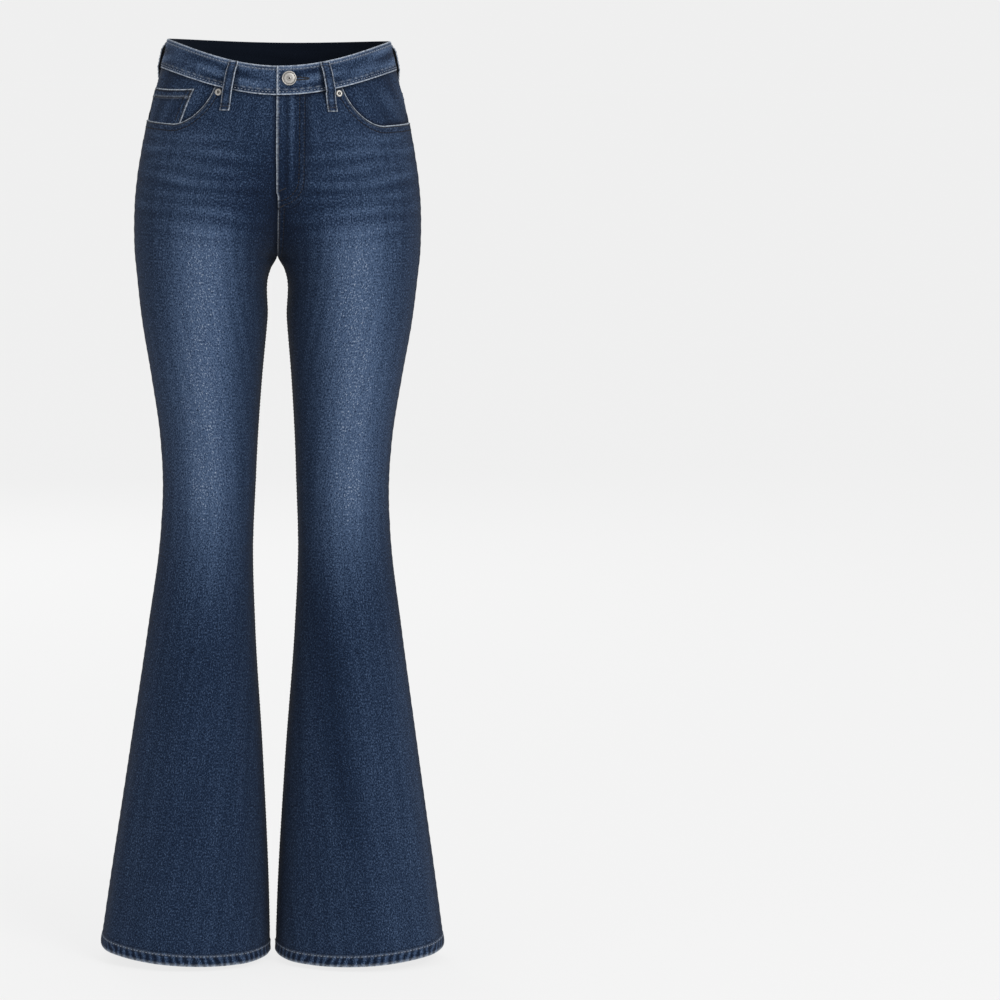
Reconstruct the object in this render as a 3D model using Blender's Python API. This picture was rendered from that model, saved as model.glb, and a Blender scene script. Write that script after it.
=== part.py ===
"""High-rise flared jeans, filled out as if worn but empty: every cut and sewn piece is a thin solid of its own.

Metres, +Z up. The front faces -Y and the wearer's left is +X. The origin is the middle of the waist opening,
level with the waistband's top edge at the side seams. Heights are given as the drop below that level.
"""

import math

import bpy
import numpy as np

CM = 0.01
MM = 0.001

# Driving sizes of the cut, in centimetres.
FRONT_DIP = 2.9          # how far the waist's top edge drops at the centre front
BACK_DIP = 0.4           # and at the centre back
BAND = 3.4               # height of the waistband
CROTCH = 25.6            # drop of the point where the four leg panels meet
RISE_FRONT = 13.0        # drop where the front rise seam starts to curve under
RISE_BACK = 9.0          # the same at the back
FILLET = 0.8             # radius of the soft arch between the legs
FILLET_START = 12.0      # drops between which that arch shapes the cloth
FILLET_END = 42.0
HEM_OUTER = 108.6        # drop of the hem at the side seam
HEM_INNER = 109.3        # and at the inseam
HEM = 1.4                # height of the turned-up hem
LAP = 0.25               # how far the fly and the band's end reach past the centre front
FLY_END = 17.5           # drop where the fly stops lapping over the other front

# Cloth thicknesses and gaps, in metres.
PANEL = 1.2 * MM
BAND_WALL = 2.4 * MM
HEM_WALL = 3.0 * MM
LOOP_WALL = 1.6 * MM
PATCH = 1.2 * MM
SEAM_GAP = 0.3 * MM
LAP_GAP = 0.5 * MM
BELT_GAP = 5.0 * MM

# Cross-sections of the filled garment, in centimetres. Half of it is described, the wearer's left.
# outer: centre plane to side seam. crease: centre plane to the front-most and back-most run.
# inner: centre plane to inseam. front, back: those runs' places along Y. side, inseam: the seams' places along Y.
SECTION_COLUMNS = ("drop", "outer", "crease", "inner", "front", "back", "side", "inseam")
SECTIONS = (
    (0.0, 13.10, 0.0, 0.00, -9.4, 9.6, 0.0, 1.2),
    (4.0, 14.05, 0.6, 0.00, -9.8, 10.4, 0.0, 1.2),
    (9.0, 15.35, 2.0, 0.00, -10.3, 11.4, 0.0, 1.2),
    (14.0, 16.35, 4.0, 0.00, -10.5, 12.1, 0.0, 1.2),
    (19.0, 16.95, 6.2, 0.00, -10.4, 12.3, 0.1, 1.2),
    (23.0, 17.05, 7.8, 0.00, -10.1, 11.5, 0.2, 1.2),
    (25.6, 16.95, 8.6, 0.00, -9.8, 10.6, 0.2, 1.2),
    (27.0, 16.80, 8.7, 0.80, -9.6, 10.1, 0.2, 1.2),
    (33.0, 16.10, 8.7, 1.20, -9.1, 8.9, 0.0, 0.9),
    (40.0, 14.90, 8.4, 1.80, -8.3, 7.8, -0.2, 0.5),
    (47.0, 13.85, 8.1, 2.25, -7.4, 6.8, -0.3, 0.1),
    (53.0, 13.50, 8.0, 2.50, -6.8, 6.3, -0.3, 0.0),
    (60.0, 13.85, 8.3, 2.75, -6.6, 6.5, -0.1, 0.0),
    (70.0, 15.20, 8.8, 2.40, -6.9, 7.1, 0.0, 0.1),
    (85.0, 17.45, 9.4, 1.30, -7.5, 7.9, 0.1, 0.2),
    (100.0, 19.70, 10.1, 0.45, -8.1, 8.6, 0.2, 0.3),
    (110.0, 21.10, 10.5, 0.16, -8.5, 9.1, 0.3, 0.3),
)
ARC_STEPS = 90           # points along each quarter of a section, before it is measured

# Rows of the leg panels' grids, as drops in centimetres. Both pass through the crotch point.
FRONT_ROWS = (14.0, 17.0, 18.0, 20.2, 22.5, 24.4, CROTCH, 26.4, 28.0, 31.0, 34.5, 40.0, 46.0,
              52.0, 58.0, 65.0, 73.0, 82.0, 91.0, 100.0)
BACK_ROWS = (24.4, CROTCH, 26.4, 28.0, 31.0, 34.5, 40.0, 46.0,
             52.0, 58.0, 65.0, 73.0, 82.0, 91.0, 100.0)

# The front pocket's mouth, in centimetres: distances from the side seam along the cloth.
MOUTH_END_DROP = 9.5     # where it meets the side seam
MOUTH_LOW_DROP = 9.8     # its lowest point
MOUTH_FLAT = 7.7         # distance at which it starts to curve up
MOUTH_REACH = 11.8       # distance of its upper end, at the waistband
MOUTH_CELLS = 9          # grid cells along it
FRONT_CELLS = 14         # grid cells across the front panel
SIDE_CELLS = 5           # of the mouth's cells, those that face the facing's lower side
FLY_WIDTH = 3.3          # from the centre front to the fly's curved stitching
COIN_CLEAR = 0.06        # between the coin pocket's foot and the mouth
FAN = (0.0, 0.25, 0.6)   # the front panel's rows between the mouth and its first level row

# The back pocket: distances from the centre back along the cloth, and drops, in centimetres.
POCKET_TOP = 9.7
POCKET_CORNER = 20.4
POCKET_TIP = 22.7
POCKET_EDGES = (         # drop, inner edge, outer edge
    (7.0, 3.2, 17.0),
    (POCKET_TOP, 3.5, 17.6),
    (POCKET_CORNER, 6.3, 18.8),
    (27.0, 5.5, 21.0),
)
POCKET_CELLS = 6
POCKET_ROWS = (POCKET_TOP, 13.3, 16.9, POCKET_CORNER)

# The yoke seam's drop: level at the side, lower at the centre back.
YOKE_SIDE = 6.0
YOKE_CENTRE = 7.8

# Belt loops: quarter turns from the centre front to the wearer's left, at the band's top and at the loop's foot.
LOOPS = (                # name, top station, foot station, length in centimetres
    ("belt_loop_front_left", 0.285, 0.310, 5.8),
    ("belt_loop_side_left", 1.125, 1.140, 5.6),
    ("belt_loop_back", 2.000, 2.000, 5.6),
    ("belt_loop_side_right", 2.875, 2.860, 5.6),
    ("belt_loop_front_right", 3.715, 3.690, 5.8),
)
LOOP_WIDTH = 1.15
LOOP_INSET = 0.1         # below the band's top edge
LOOP_SHAPE = (           # share of the loop's length, share of the full stand-off
    (0.0, 0.0), (0.07, 0.0), (0.16, 0.75), (0.24, 1.0), (0.45, 1.0), (0.62, 0.95), (0.78, 0.45), (0.88, 0.0), (1.0, 0.0),
)

BUTTON_STATION = 0.062   # quarter turns from the centre front
BUTTON_INSET = 1.5       # below the band's top edge
BUTTON_RADIUS = 8.5 * MM
RIVET_RADIUS = 4.3 * MM


def clear_scene():
    for obj in list(bpy.data.objects):
        bpy.data.objects.remove(obj)


def material(name, colour, roughness, metallic=0.0):
    made = bpy.data.materials.new(name)
    made.use_nodes = True
    shader = made.node_tree.nodes["Principled BSDF"]
    shader.inputs["Base Color"].default_value = (*colour, 1.0)
    shader.inputs["Roughness"].default_value = roughness
    shader.inputs["Metallic"].default_value = metallic
    return made


def ease(low, high, value):
    """0 below low, 1 above high, and smooth between."""
    share = min(1.0, max(0.0, (value - low) / (high - low)))
    return share * share * (3 - 2 * share)


def curve_through(xs, ys, x):
    """A smooth curve through the points, read at x: cubic pieces with each point's mean slope."""
    slopes = np.gradient(ys, xs)
    i = min(max(int(np.searchsorted(xs, x)) - 1, 0), len(xs) - 2)
    width = xs[i + 1] - xs[i]
    t = (x - xs[i]) / width
    return (
        (2 * t**3 - 3 * t**2 + 1) * ys[i]
        + (t**3 - 2 * t**2 + t) * width * slopes[i]
        + (3 * t**2 - 2 * t**3) * ys[i + 1]
        + (t**3 - t**2) * width * slopes[i + 1]
    )


def section(drop):
    """The named sizes of the cross-section at this drop."""
    rows = np.array(SECTIONS)
    return {
        name: curve_through(rows[:, 0], rows[:, k], drop)
        for k, name in enumerate(SECTION_COLUMNS)
    }


def half_section(face, drop):
    """The half section's front or back run, from the side seam to the centre seam or the inseam.

    Two quarter ellipses meet at the crease. Above the crotch the inner one is cut off at the centre plane,
    where the rise seam lies, and squaring x rounds the arch between the legs. It gives x, y, the length along
    the cloth, and the share of the way across, which puts the crease at a share that changes slowly.
    """
    at = section(drop)
    reach = at[face]
    turn = np.linspace(0.0, math.pi / 2, ARC_STEPS)
    outer_x = at["crease"] + (at["outer"] - at["crease"]) * np.cos(turn)
    outer_y = at["side"] + (reach - at["side"]) * np.sin(turn)
    fillet = FILLET * ease(FILLET_START, CROTCH, drop) * (1 - ease(CROTCH, FILLET_END, drop))
    start = RISE_FRONT if face == "front" else RISE_BACK
    under = min(max(0.0, (drop - start) / (CROTCH - start)), 1.0)
    if drop < CROTCH:
        share = min(math.sqrt(1 - under**2), 0.9999)
        crease = max(at["crease"], fillet + 0.01)
        inner = crease - (crease - fillet) / math.sqrt(1 - share**2)
        last = math.acos(share)
    else:
        crease = at["crease"]
        inner = math.hypot(max(at["inner"], 0.0), fillet)
        last = math.pi / 2
    turn = np.linspace(0.0, last, ARC_STEPS)
    inner_x = crease + (inner - crease) * np.sin(turn)
    inner_y = at["inseam"] + (reach - at["inseam"]) * np.cos(turn)
    x = np.concatenate([outer_x, inner_x[1:]])
    y = np.concatenate([outer_y, inner_y[1:]])
    x = np.sqrt(np.maximum(x**2 - fillet**2, 0.0))
    along = np.concatenate([[0.0], np.cumsum(np.hypot(np.diff(x), np.diff(y)))])
    quarter = math.pi / 2 * math.hypot(crease - inner, reach - at["inseam"]) / math.sqrt(2)
    split = along[ARC_STEPS - 1]
    crease_share = split / (split + crease + (quarter - crease) * under**2)
    shares = np.interp(along, (0.0, split, along[-1]), (0.0, crease_share, 1.0))
    return x, y, along, shares


def girth(face, drop):
    """Length of that run, in centimetres."""
    return half_section(face, drop)[2][-1]


def share_at(face, distance, drop):
    """The share at a distance from the side seam along the cloth, in centimetres."""
    x, y, along, shares = half_section(face, drop)
    return np.interp(distance, along, shares)


def skin(face, share, drop):
    """A point of the garment's outer face, in centimetres: share runs from 0 at the side seam to 1 at the
    centre seam or inseam. Past 1 it goes on over the centre front, on the other half."""
    across = -1.0 if share > 1 else 1.0
    share = 2 - share if share > 1 else share
    x, y, along, shares = half_section(face, drop)
    return np.array([across * np.interp(share, shares, x), np.interp(share, shares, y), -drop])


def normal(face, share, drop):
    """The outward normal there, from short steps on the skin. On a seam it is the same for both its pieces."""
    step = 0.004
    beyond = share > 1
    share = 2 - share if beyond else share
    middle = min(max(share, step), 1 - step)
    sideways = skin(face, middle + step, drop) - skin(face, middle - step, drop)
    down = skin(face, share, min(drop + 0.01, 110.0)) - skin(face, share, max(drop - 0.01, 0.0))
    out = np.cross(sideways, down)
    if face == "back":
        out = -out
    if share == 0 or share == 1 and drop > CROTCH:
        out[1] = 0.0
    if share == 1 and drop <= CROTCH:
        out[0] = 0.0
    if share == 1 and drop == CROTCH:
        out = np.array([0.0, 0.0, -1.0])
    if beyond:
        out[0] = -out[0]
    return out / np.linalg.norm(out)


def waist_top(face, share):
    """Drop of the waistband's top edge."""
    dip = FRONT_DIP if face == "front" else BACK_DIP
    return dip * math.sin(share * math.pi / 2) ** 2


def waist_seam(face, share):
    """Drop of the seam between the waistband and the cloth below it."""
    return waist_top(face, share) + BAND


def yoke_seam(share):
    return YOKE_SIDE + (YOKE_CENTRE - YOKE_SIDE) * share**2.5


def hem_drop(share):
    return HEM_OUTER + (HEM_INNER - HEM_OUTER) * (1 - math.cos(math.pi * share)) / 2


def ply(face, share, drop, lift, wall, side):
    """The outer and inner points, in metres, of a ply of cloth at a place on the skin: its outer face is lifted
    off the skin. side is 1 for the wearer's left and -1 for the right. Seams are opened by their gap."""
    around = girth(face, drop) * CM
    inset = SEAM_GAP / 2 / around
    near = max(share, inset)
    if drop > CROTCH:
        near = min(near, 1 - inset)
    at = skin(face, near, drop) * CM
    if share == 1 and drop <= CROTCH:
        at[0] = SEAM_GAP / 2
    if share == 1 and drop == CROTCH:
        at[1] += SEAM_GAP / 2 * (1 if face == "back" else -1)
    out = normal(face, share, drop)
    return [tuple((at + out * depth) * (side, 1, 1)) for depth in (lift, lift - wall)]


def grid_faces(rows, columns):
    """Triangles of a grid of points numbered row by row, all cut the same way so that layers stay parallel."""
    faces = []
    for r in range(rows - 1):
        for c in range(columns - 1):
            a, b = r * columns + c, (r + 1) * columns + c
            faces += [(a, b, b + 1), (a, b + 1, a + 1)]
    return faces


def add_object(name, points, faces, finish, angle):
    mesh = bpy.data.meshes.new(name)
    mesh.from_pydata(points, [], faces)
    mesh.materials.append(finish)
    mesh.shade_smooth()
    mesh.set_sharp_from_angle(angle=math.radians(angle))
    obj = bpy.data.objects.new(name, mesh)
    bpy.context.scene.collection.objects.link(obj)
    return obj


def cloth(name, plies, faces, finish, outward):
    """A closed wall of cloth from pairs of outer and inner points. outward is roughly where its first face looks."""
    outer = [np.array(pair[0]) for pair in plies]
    a, b, c = (outer[i] for i in faces[0])
    if np.dot(np.cross(b - a, c - a), outward) < 0:
        faces = [tuple(reversed(face)) for face in faces]
    count = len(plies)
    directed = {(i, j) for face in faces for i, j in zip(face, (*face[1:], face[0]))}
    rim = [(j, i, i + count, j + count) for i, j in sorted(directed) if (j, i) not in directed]
    inside = [tuple(i + count for i in reversed(face)) for face in faces]
    points = [pair[0] for pair in plies] + [pair[1] for pair in plies]
    return add_object(name, points, [*faces, *inside, *rim], finish, 50)


def leg_rows_end(share, rows):
    """The last rows of a leg panel: the hem's upper edge, its turn and its fold."""
    return [*rows, hem_drop(share) - HEM, hem_drop(share) - HEM + 0.25, hem_drop(share)]


def mouth_nodes():
    """(share, drop) of the front pocket's mouth, from the side seam to the waistband."""
    low = MOUTH_LOW_DROP
    radius = MOUTH_REACH - MOUTH_FLAT
    seam = waist_seam("front", share_at("front", MOUTH_REACH, 6.0))
    straight = MOUTH_CELLS // 3
    places = [
        (MOUTH_FLAT * k / straight, MOUTH_END_DROP + (low - MOUTH_END_DROP) * k / straight)
        for k in range(straight)
    ]
    curved = MOUTH_CELLS - straight
    for k in range(curved + 1):
        turn = k / curved * math.pi / 2
        places.append((MOUTH_FLAT + radius * math.sin(turn), low - (low - seam) * (1 - math.cos(turn))))
    nodes = [(share_at("front", distance, drop), drop) for distance, drop in places]
    corner = nodes[-1][0]
    return [*nodes[:-1], (corner, waist_seam("front", corner))]


def front_shares(drop):
    """The front panel's columns: even cells up to the fly's stitching, then two across the fly."""
    even = 1 - 2 / FRONT_CELLS
    fly = share_at("front", girth("front", drop) - FLY_WIDTH, drop)
    fly += (even - fly) * ease(20.0, 34.0, drop)
    return [*np.linspace(0.0, fly, FRONT_CELLS - 1), (1 + fly) / 2, 1.0]


def front_nodes():
    """Rows of (share, drop) of the front panel, the first along the pocket's mouth and the waist seam."""
    top = mouth_nodes()
    shares = front_shares(waist_seam("front", 1))
    corner, plain = top[-1][0], FRONT_CELLS - MOUTH_CELLS - 2
    for k in range(1, plain + 1):
        share = corner + (shares[-3] - corner) * k / plain
        top.append((share, waist_seam("front", share)))
    top += [(share, waist_seam("front", share)) for share in shares[-2:]]
    top = [(share, drop + SEAM_GAP / CM / 2) for share, drop in top]
    level = FRONT_ROWS[0]
    rows = []
    for part in FAN:
        rows.append([
            (share + (at - share) * part, drop + (level - drop) * part)
            for (share, drop), at in zip(top, front_shares(level))
        ])
    for drop in FRONT_ROWS:
        rows.append([(share, drop) for share in front_shares(drop)])
    shares = front_shares(HEM_OUTER)
    for r in range(3):
        rows.append([(share, leg_rows_end(share, ())[r]) for share in shares])
    return rows


def fly_lift(column, drop):
    """The fly is doubled cloth that laps over the other front, so its outer face stands off."""
    over = 1 - ease(FLY_END + 0.5, FLY_END + 2.6, drop)
    return (PANEL + LAP_GAP) * over * (column >= FRONT_CELLS - 2)


def leg_panel(name, face, side, nodes, finish, lap=False):
    """One front or back from a grid of (share, drop). Its turned-up hem is three layers thick."""
    plies = []
    for r, row in enumerate(nodes):
        for c, (share, drop) in enumerate(row):
            lift, wall = 0.0, PANEL
            if r >= len(nodes) - 2:
                lift, wall = (HEM_WALL - PANEL) / 2, HEM_WALL
            if lap:
                lift += fly_lift(c, drop)
                if c == len(row) - 1 and drop < FLY_END:
                    share += LAP / girth(face, drop)
            plies.append(ply(face, share, drop, lift, wall, side))
    faces = grid_faces(len(nodes), len(nodes[0]))
    return cloth(name, plies, faces, finish, (side, -0.5 if face == "front" else 0.5, 0))


def back_shares(drop):
    """The back panel's columns at this drop: two cells beside the pocket on each side, and the pocket's own."""
    drops, inner, outer = (np.array(column) for column in zip(*POCKET_EDGES))
    around = girth("back", drop)
    past = ease(POCKET_TIP, 40.0, drop)
    inner_share = share_at("back", around - np.interp(drop, drops, inner), drop)
    outer_share = share_at("back", around - np.interp(drop, drops, outer), drop)
    inner_share += (0.8 - inner_share) * past
    outer_share += (0.2 - outer_share) * past
    between = np.linspace(outer_share, inner_share, POCKET_CELLS + 1)
    return [0.0, outer_share / 2, *between, (1 + inner_share) / 2, 1.0]


def back_nodes():
    """Rows of (share, drop) of the back panel. Its lines follow the pocket's edges and its pointed foot."""
    pointed = np.array([0, 0, *(1 - np.abs(np.linspace(-1, 1, POCKET_CELLS + 1))), 0, 0])
    half = SEAM_GAP / CM / 2
    rows = [[(share, yoke_seam(share) + half) for share in back_shares(POCKET_EDGES[0][0])]]
    for drop in POCKET_ROWS:
        depth = (POCKET_TIP - POCKET_CORNER) * (drop == POCKET_CORNER)
        rows.append([(share, drop + depth * p) for share, p in zip(back_shares(drop), pointed)])
    for drop in BACK_ROWS:
        rows.append([(share, drop) for share in back_shares(drop)])
    shares = back_shares(HEM_OUTER)
    for r in range(3):
        rows.append([(share, leg_rows_end(share, ())[r]) for share in shares])
    return rows


def back_pocket(name, side, nodes, finish):
    """The patch pocket: the panel's own points under it, moved out."""
    first, last = 2, 2 + POCKET_CELLS
    rows = nodes[1:1 + len(POCKET_ROWS)]
    plies = [
        ply("back", share, drop, SEAM_GAP + PATCH, PATCH, side)
        for row in rows
        for share, drop in row[first:last + 1]
    ]
    return cloth(name, plies, grid_faces(len(rows), POCKET_CELLS + 1), finish, (0, 1, 0))


def yoke(name, side, finish):
    """The back yoke, from the waistband down to the yoke seam."""
    half = SEAM_GAP / CM / 2
    plies = []
    for part in (0.0, 0.5, 1.0):
        for share in back_shares(POCKET_EDGES[0][0]):
            top, foot = waist_seam("back", share) + half, yoke_seam(share) - half
            plies.append(ply("back", share, top + (foot - top) * part, 0.0, PANEL, side))
    return cloth(name, plies, grid_faces(3, POCKET_CELLS + 5), finish, (side, 0.5, 0))


def facing_patch():
    """Rows of (share, drop) of the pocket facing's visible part: between the waist seam, the side seam and the
    mouth, whose first stretch is its foot and whose second is its inner side."""
    mouth = mouth_nodes()
    down = MOUTH_CELLS - SIDE_CELLS
    half = SEAM_GAP / CM / 2
    corner = mouth[-1][0]
    shares = np.linspace(0.0, corner, SIDE_CELLS + 1)
    top = np.array([(share, waist_seam("front", share) + half) for share in shares])
    foot = np.array(mouth[: SIDE_CELLS + 1])
    inner = np.array([mouth[MOUTH_CELLS - j] for j in range(down + 1)])
    inner[0] = top[-1]
    outer = np.array([top[0] + (foot[0] - top[0]) * j / down for j in range(down + 1)])
    patch = []
    for j in range(down + 1):
        b = j / down
        row = []
        for i in range(SIDE_CELLS + 1):
            a = i / SIDE_CELLS
            edges = (1 - b) * top[i] + b * foot[i] + (1 - a) * outer[j] + a * inner[j]
            corners = (1 - b) * ((1 - a) * top[0] + a * top[-1]) + b * ((1 - a) * foot[0] + a * foot[-1])
            row.append(tuple(edges - corners))
        patch.append(row)
    return patch


def facing_lift(i, j):
    """The facing is level with the skin at the waist and side seams, and behind the front at the mouth."""
    down = MOUTH_CELLS - SIDE_CELLS
    return -(PANEL + LAP_GAP) * max(ease(0.0, 0.8, i / SIDE_CELLS), ease(0.0, 0.8, j / down))


def pocket_facing(name, side, front, finish):
    """The hip piece behind the mouth. It runs on beneath the front panel by that panel's first row of cells."""
    patch = facing_patch()
    down = MOUTH_CELLS - SIDE_CELLS
    plies = [
        ply("front", share, drop, facing_lift(i, j), PANEL, side)
        for j, row in enumerate(patch)
        for i, (share, drop) in enumerate(row)
    ]
    columns = SIDE_CELLS + 1
    faces = grid_faces(down + 1, columns)
    rim = [down * columns + i for i in range(SIDE_CELLS)]
    rim += [j * columns + SIDE_CELLS for j in range(down, -1, -1)]
    under = []
    for share, drop in front[1][: MOUTH_CELLS + 1]:
        under.append(len(plies))
        plies.append(ply("front", share, drop, -(PANEL + LAP_GAP), PANEL, side))
    for c in range(MOUTH_CELLS):
        faces += [(rim[c], under[c], under[c + 1]), (rim[c], under[c + 1], rim[c + 1])]
    return cloth(name, plies, faces, finish, (side, -1, 0))


def coin_pocket(name, side, finish):
    """The small patch on the facing, made from the facing's points and moved out. Its foot ends at the mouth."""
    patch = facing_patch()
    columns, rows = range(1, SIDE_CELLS), range(1, len(patch))
    plies = []
    for j in rows:
        for i in columns:
            share, drop = patch[j][i]
            plies.append(ply("front", share, drop - COIN_CLEAR * (j == rows[-1]),
                             facing_lift(i, j) + SEAM_GAP + PATCH, PATCH, side))
    return cloth(name, plies, grid_faces(len(rows), len(columns)), finish, (side, -1, 0))


def belt_place(station):
    """(face, share, side) at quarter turns from the centre front towards the wearer's left."""
    if 1 < station < 3:
        return "back", 1 - abs(station - 2), 1 if station <= 2 else -1
    share = 1 - station if station <= 1 else station - 3
    return "front", share, 1 if station <= 1 else -1


def band_lift(station):
    """How far the band's outer face stands off the skin. Near its lapped end it rides on the other end."""
    over = 1 - ease(0.3, 0.75, station)
    return (BAND_WALL - PANEL) / 2 + (BAND_WALL + LAP_GAP) * over


def band_ply(station, drop, lift, wall, across=0.0):
    """A ply at a station on the band, without the seams' gaps: the band runs on across them. across moves it
    sideways in centimetres, level and square to its normal."""
    face, share, side = belt_place(station)
    out = normal(face, share, drop)
    sideways = np.cross(out, (0.0, 0.0, 1.0))
    at = (skin(face, share, drop) + sideways / np.linalg.norm(sideways) * across) * CM
    return [tuple((at + out * depth) * (side, 1, 1)) for depth in (lift, lift - wall)]


def band_stations():
    """The band's stations once round: those of the seam's own points below it, so that the edges match."""
    patch, front = facing_patch(), front_nodes()
    fronts = [share for share, drop in [*patch[0], *front[0][MOUTH_CELLS + 1:]]]
    backs = back_shares(POCKET_EDGES[0][0])
    left = [*(1 - share for share in reversed(fronts)), *(1 + share for share in backs[1:])]
    return [*left, *(4 - station for station in reversed(left[:-1]))]


def waistband(finish):
    """One contoured strip all the way round, its end lapped over the other, which runs on as far as the fly."""
    stations = [-LAP / girth("front", BAND), *band_stations()]
    stations += [4 + station for station in stations[2:4]]
    depth = BAND - SEAM_GAP / CM / 2
    plies = []
    for part in (0.0, 0.5, 1.0):
        for station in stations:
            face, share, side = belt_place(station)
            drop = waist_top(face, share) + depth * part
            plies.append(band_ply(station, drop, band_lift(station), BAND_WALL))
    return cloth("waistband", plies, grid_faces(3, len(stations)), finish, (0, -1, 0))


def belt_loop(name, top, foot, length, finish):
    """A narrow strip tacked flat at the band's top edge and below the band, standing off between."""
    plies = []
    for part, stand in LOOP_SHAPE:
        station = top + (foot - top) * part
        face, share, side = belt_place(station)
        drop = waist_top(face, share) + LOOP_INSET + length * part
        seat = band_lift(station) if length * part < BAND + 0.3 else 0.2 * MM
        for across in (-0.5, 0.0, 0.5):
            lift = seat + LAP_GAP + LOOP_WALL + stand * BELT_GAP
            plies.append(band_ply(station, drop, lift, LOOP_WALL, across * LOOP_WIDTH * side))
    face, share, side = belt_place(top)
    out = normal(face, share, 4.0)
    return cloth(name, plies, grid_faces(len(LOOP_SHAPE), 3), finish, (side * out[0], out[1], 0))


def turned(name, profile, place, out, finish, steps):
    """A solid of revolution about out: the profile is (radius, height) from its top's middle to its foot's."""
    sideways = np.cross((0.0, 0.0, 1.0), out)
    sideways /= np.linalg.norm(sideways)
    upward = np.cross(out, sideways)
    rings = profile[1:-1]
    points = [tuple(place + out * profile[0][1])]
    for radius, height in rings:
        for k in range(steps):
            turn = 2 * math.pi * k / steps
            across = math.cos(turn) * sideways + math.sin(turn) * upward
            points.append(tuple(place + out * height + radius * across))
    points.append(tuple(place + out * profile[-1][1]))
    last = 1 + (len(rings) - 1) * steps
    faces = []
    for k in range(steps):
        after = (k + 1) % steps
        faces.append((0, 1 + k, 1 + after))
        faces.append((last + steps, last + after, last + k))
        for start in range(1, last, steps):
            faces.append((start + k, start + k + steps, start + after + steps, start + after))
    return add_object(name, points, faces, finish, 35)


def button(finish):
    """A tack button: a cap with a rolled rim and a raised centre, on a short shank that stands on the band."""
    face, share, side = belt_place(BUTTON_STATION)
    drop = waist_top(face, share) + BUTTON_INSET
    place = np.array(band_ply(BUTTON_STATION, drop, band_lift(BUTTON_STATION) + SEAM_GAP, PANEL)[0])
    r = BUTTON_RADIUS
    profile = (
        (0.0, 3.9 * MM), (1.2 * MM, 3.9 * MM), (1.8 * MM, 3.5 * MM), (0.72 * r, 3.5 * MM), (0.86 * r, 3.9 * MM),
        (0.97 * r, 3.5 * MM), (r, 2.9 * MM), (0.93 * r, 2.3 * MM), (3.4 * MM, 2.0 * MM), (3.2 * MM, 0.0), (0.0, 0.0),
    )
    return turned("button", profile, place, normal(face, share, drop), finish, 24)


def rivet(name, side, finish):
    """A capped rivet at the upper end of the pocket's mouth."""
    share, drop = mouth_nodes()[-1]
    share += 0.75 / girth("front", drop)
    drop += 0.75
    place = np.array(ply("front", share, drop, SEAM_GAP + 0.1 * MM, PANEL, side)[0])
    out = normal("front", share, drop) * (side, 1, 1)
    r = RIVET_RADIUS
    profile = (
        (0.0, 1.9 * MM), (0.25 * r, 1.85 * MM), (0.3 * r, 1.3 * MM), (0.55 * r, 1.3 * MM), (0.75 * r, 1.7 * MM),
        (0.95 * r, 1.1 * MM), (r, 0.0), (0.0, 0.0),
    )
    return turned(name, profile, place, out, finish, 20)


def build():
    clear_scene()
    denim = material("indigo_denim", (0.03, 0.05, 0.10), 0.9)
    metal = material("nickel", (0.62, 0.60, 0.58), 0.35, 1.0)
    front, back = front_nodes(), back_nodes()
    for word, side in (("left", 1), ("right", -1)):
        leg_panel(f"front_{word}", "front", side, front, denim, lap=side == 1)
        leg_panel(f"back_{word}", "back", side, back, denim)
        yoke(f"yoke_{word}", side, denim)
        back_pocket(f"back_pocket_{word}", side, back, denim)
        pocket_facing(f"pocket_facing_{word}", side, front, denim)
        rivet(f"rivet_{word}", side, metal)
    coin_pocket("coin_pocket", -1, denim)
    waistband(denim)
    for name, top, foot, length in LOOPS:
        belt_loop(name, top, foot, length, denim)
    button(metal)


build()
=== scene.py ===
"""The looks of the flared jeans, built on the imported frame: metres, +Z up, the front faces -Y."""

import math

import bpy
import numpy as np
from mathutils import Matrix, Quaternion, Vector


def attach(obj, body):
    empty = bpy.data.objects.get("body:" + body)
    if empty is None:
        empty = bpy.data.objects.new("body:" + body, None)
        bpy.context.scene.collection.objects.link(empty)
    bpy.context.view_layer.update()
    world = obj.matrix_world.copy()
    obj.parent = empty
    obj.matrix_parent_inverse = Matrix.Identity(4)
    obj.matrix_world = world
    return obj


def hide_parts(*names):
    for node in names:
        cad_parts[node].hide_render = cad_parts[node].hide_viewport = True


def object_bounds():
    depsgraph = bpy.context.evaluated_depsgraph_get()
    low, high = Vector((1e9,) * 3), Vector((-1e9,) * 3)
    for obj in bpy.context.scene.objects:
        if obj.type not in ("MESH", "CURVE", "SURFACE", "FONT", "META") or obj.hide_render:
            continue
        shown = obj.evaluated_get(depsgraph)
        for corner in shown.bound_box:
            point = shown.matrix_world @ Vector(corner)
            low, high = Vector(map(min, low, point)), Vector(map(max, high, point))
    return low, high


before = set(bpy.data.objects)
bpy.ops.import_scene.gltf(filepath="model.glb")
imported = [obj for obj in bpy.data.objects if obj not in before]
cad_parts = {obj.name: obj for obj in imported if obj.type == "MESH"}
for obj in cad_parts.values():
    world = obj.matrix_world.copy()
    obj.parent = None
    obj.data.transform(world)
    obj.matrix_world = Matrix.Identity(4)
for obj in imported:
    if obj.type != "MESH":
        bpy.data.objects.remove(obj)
cad_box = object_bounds()


# The filled form. The cut gives the empty garment this shape when a figure fills it: each row is a level
# section of the wearer's left half, in cm. Every piece below is cloth laid on this form, or close above it.
# A drop is a depth below the waist's top edge, and a share is 0 at the side seam and 1 at the centre.

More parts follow.
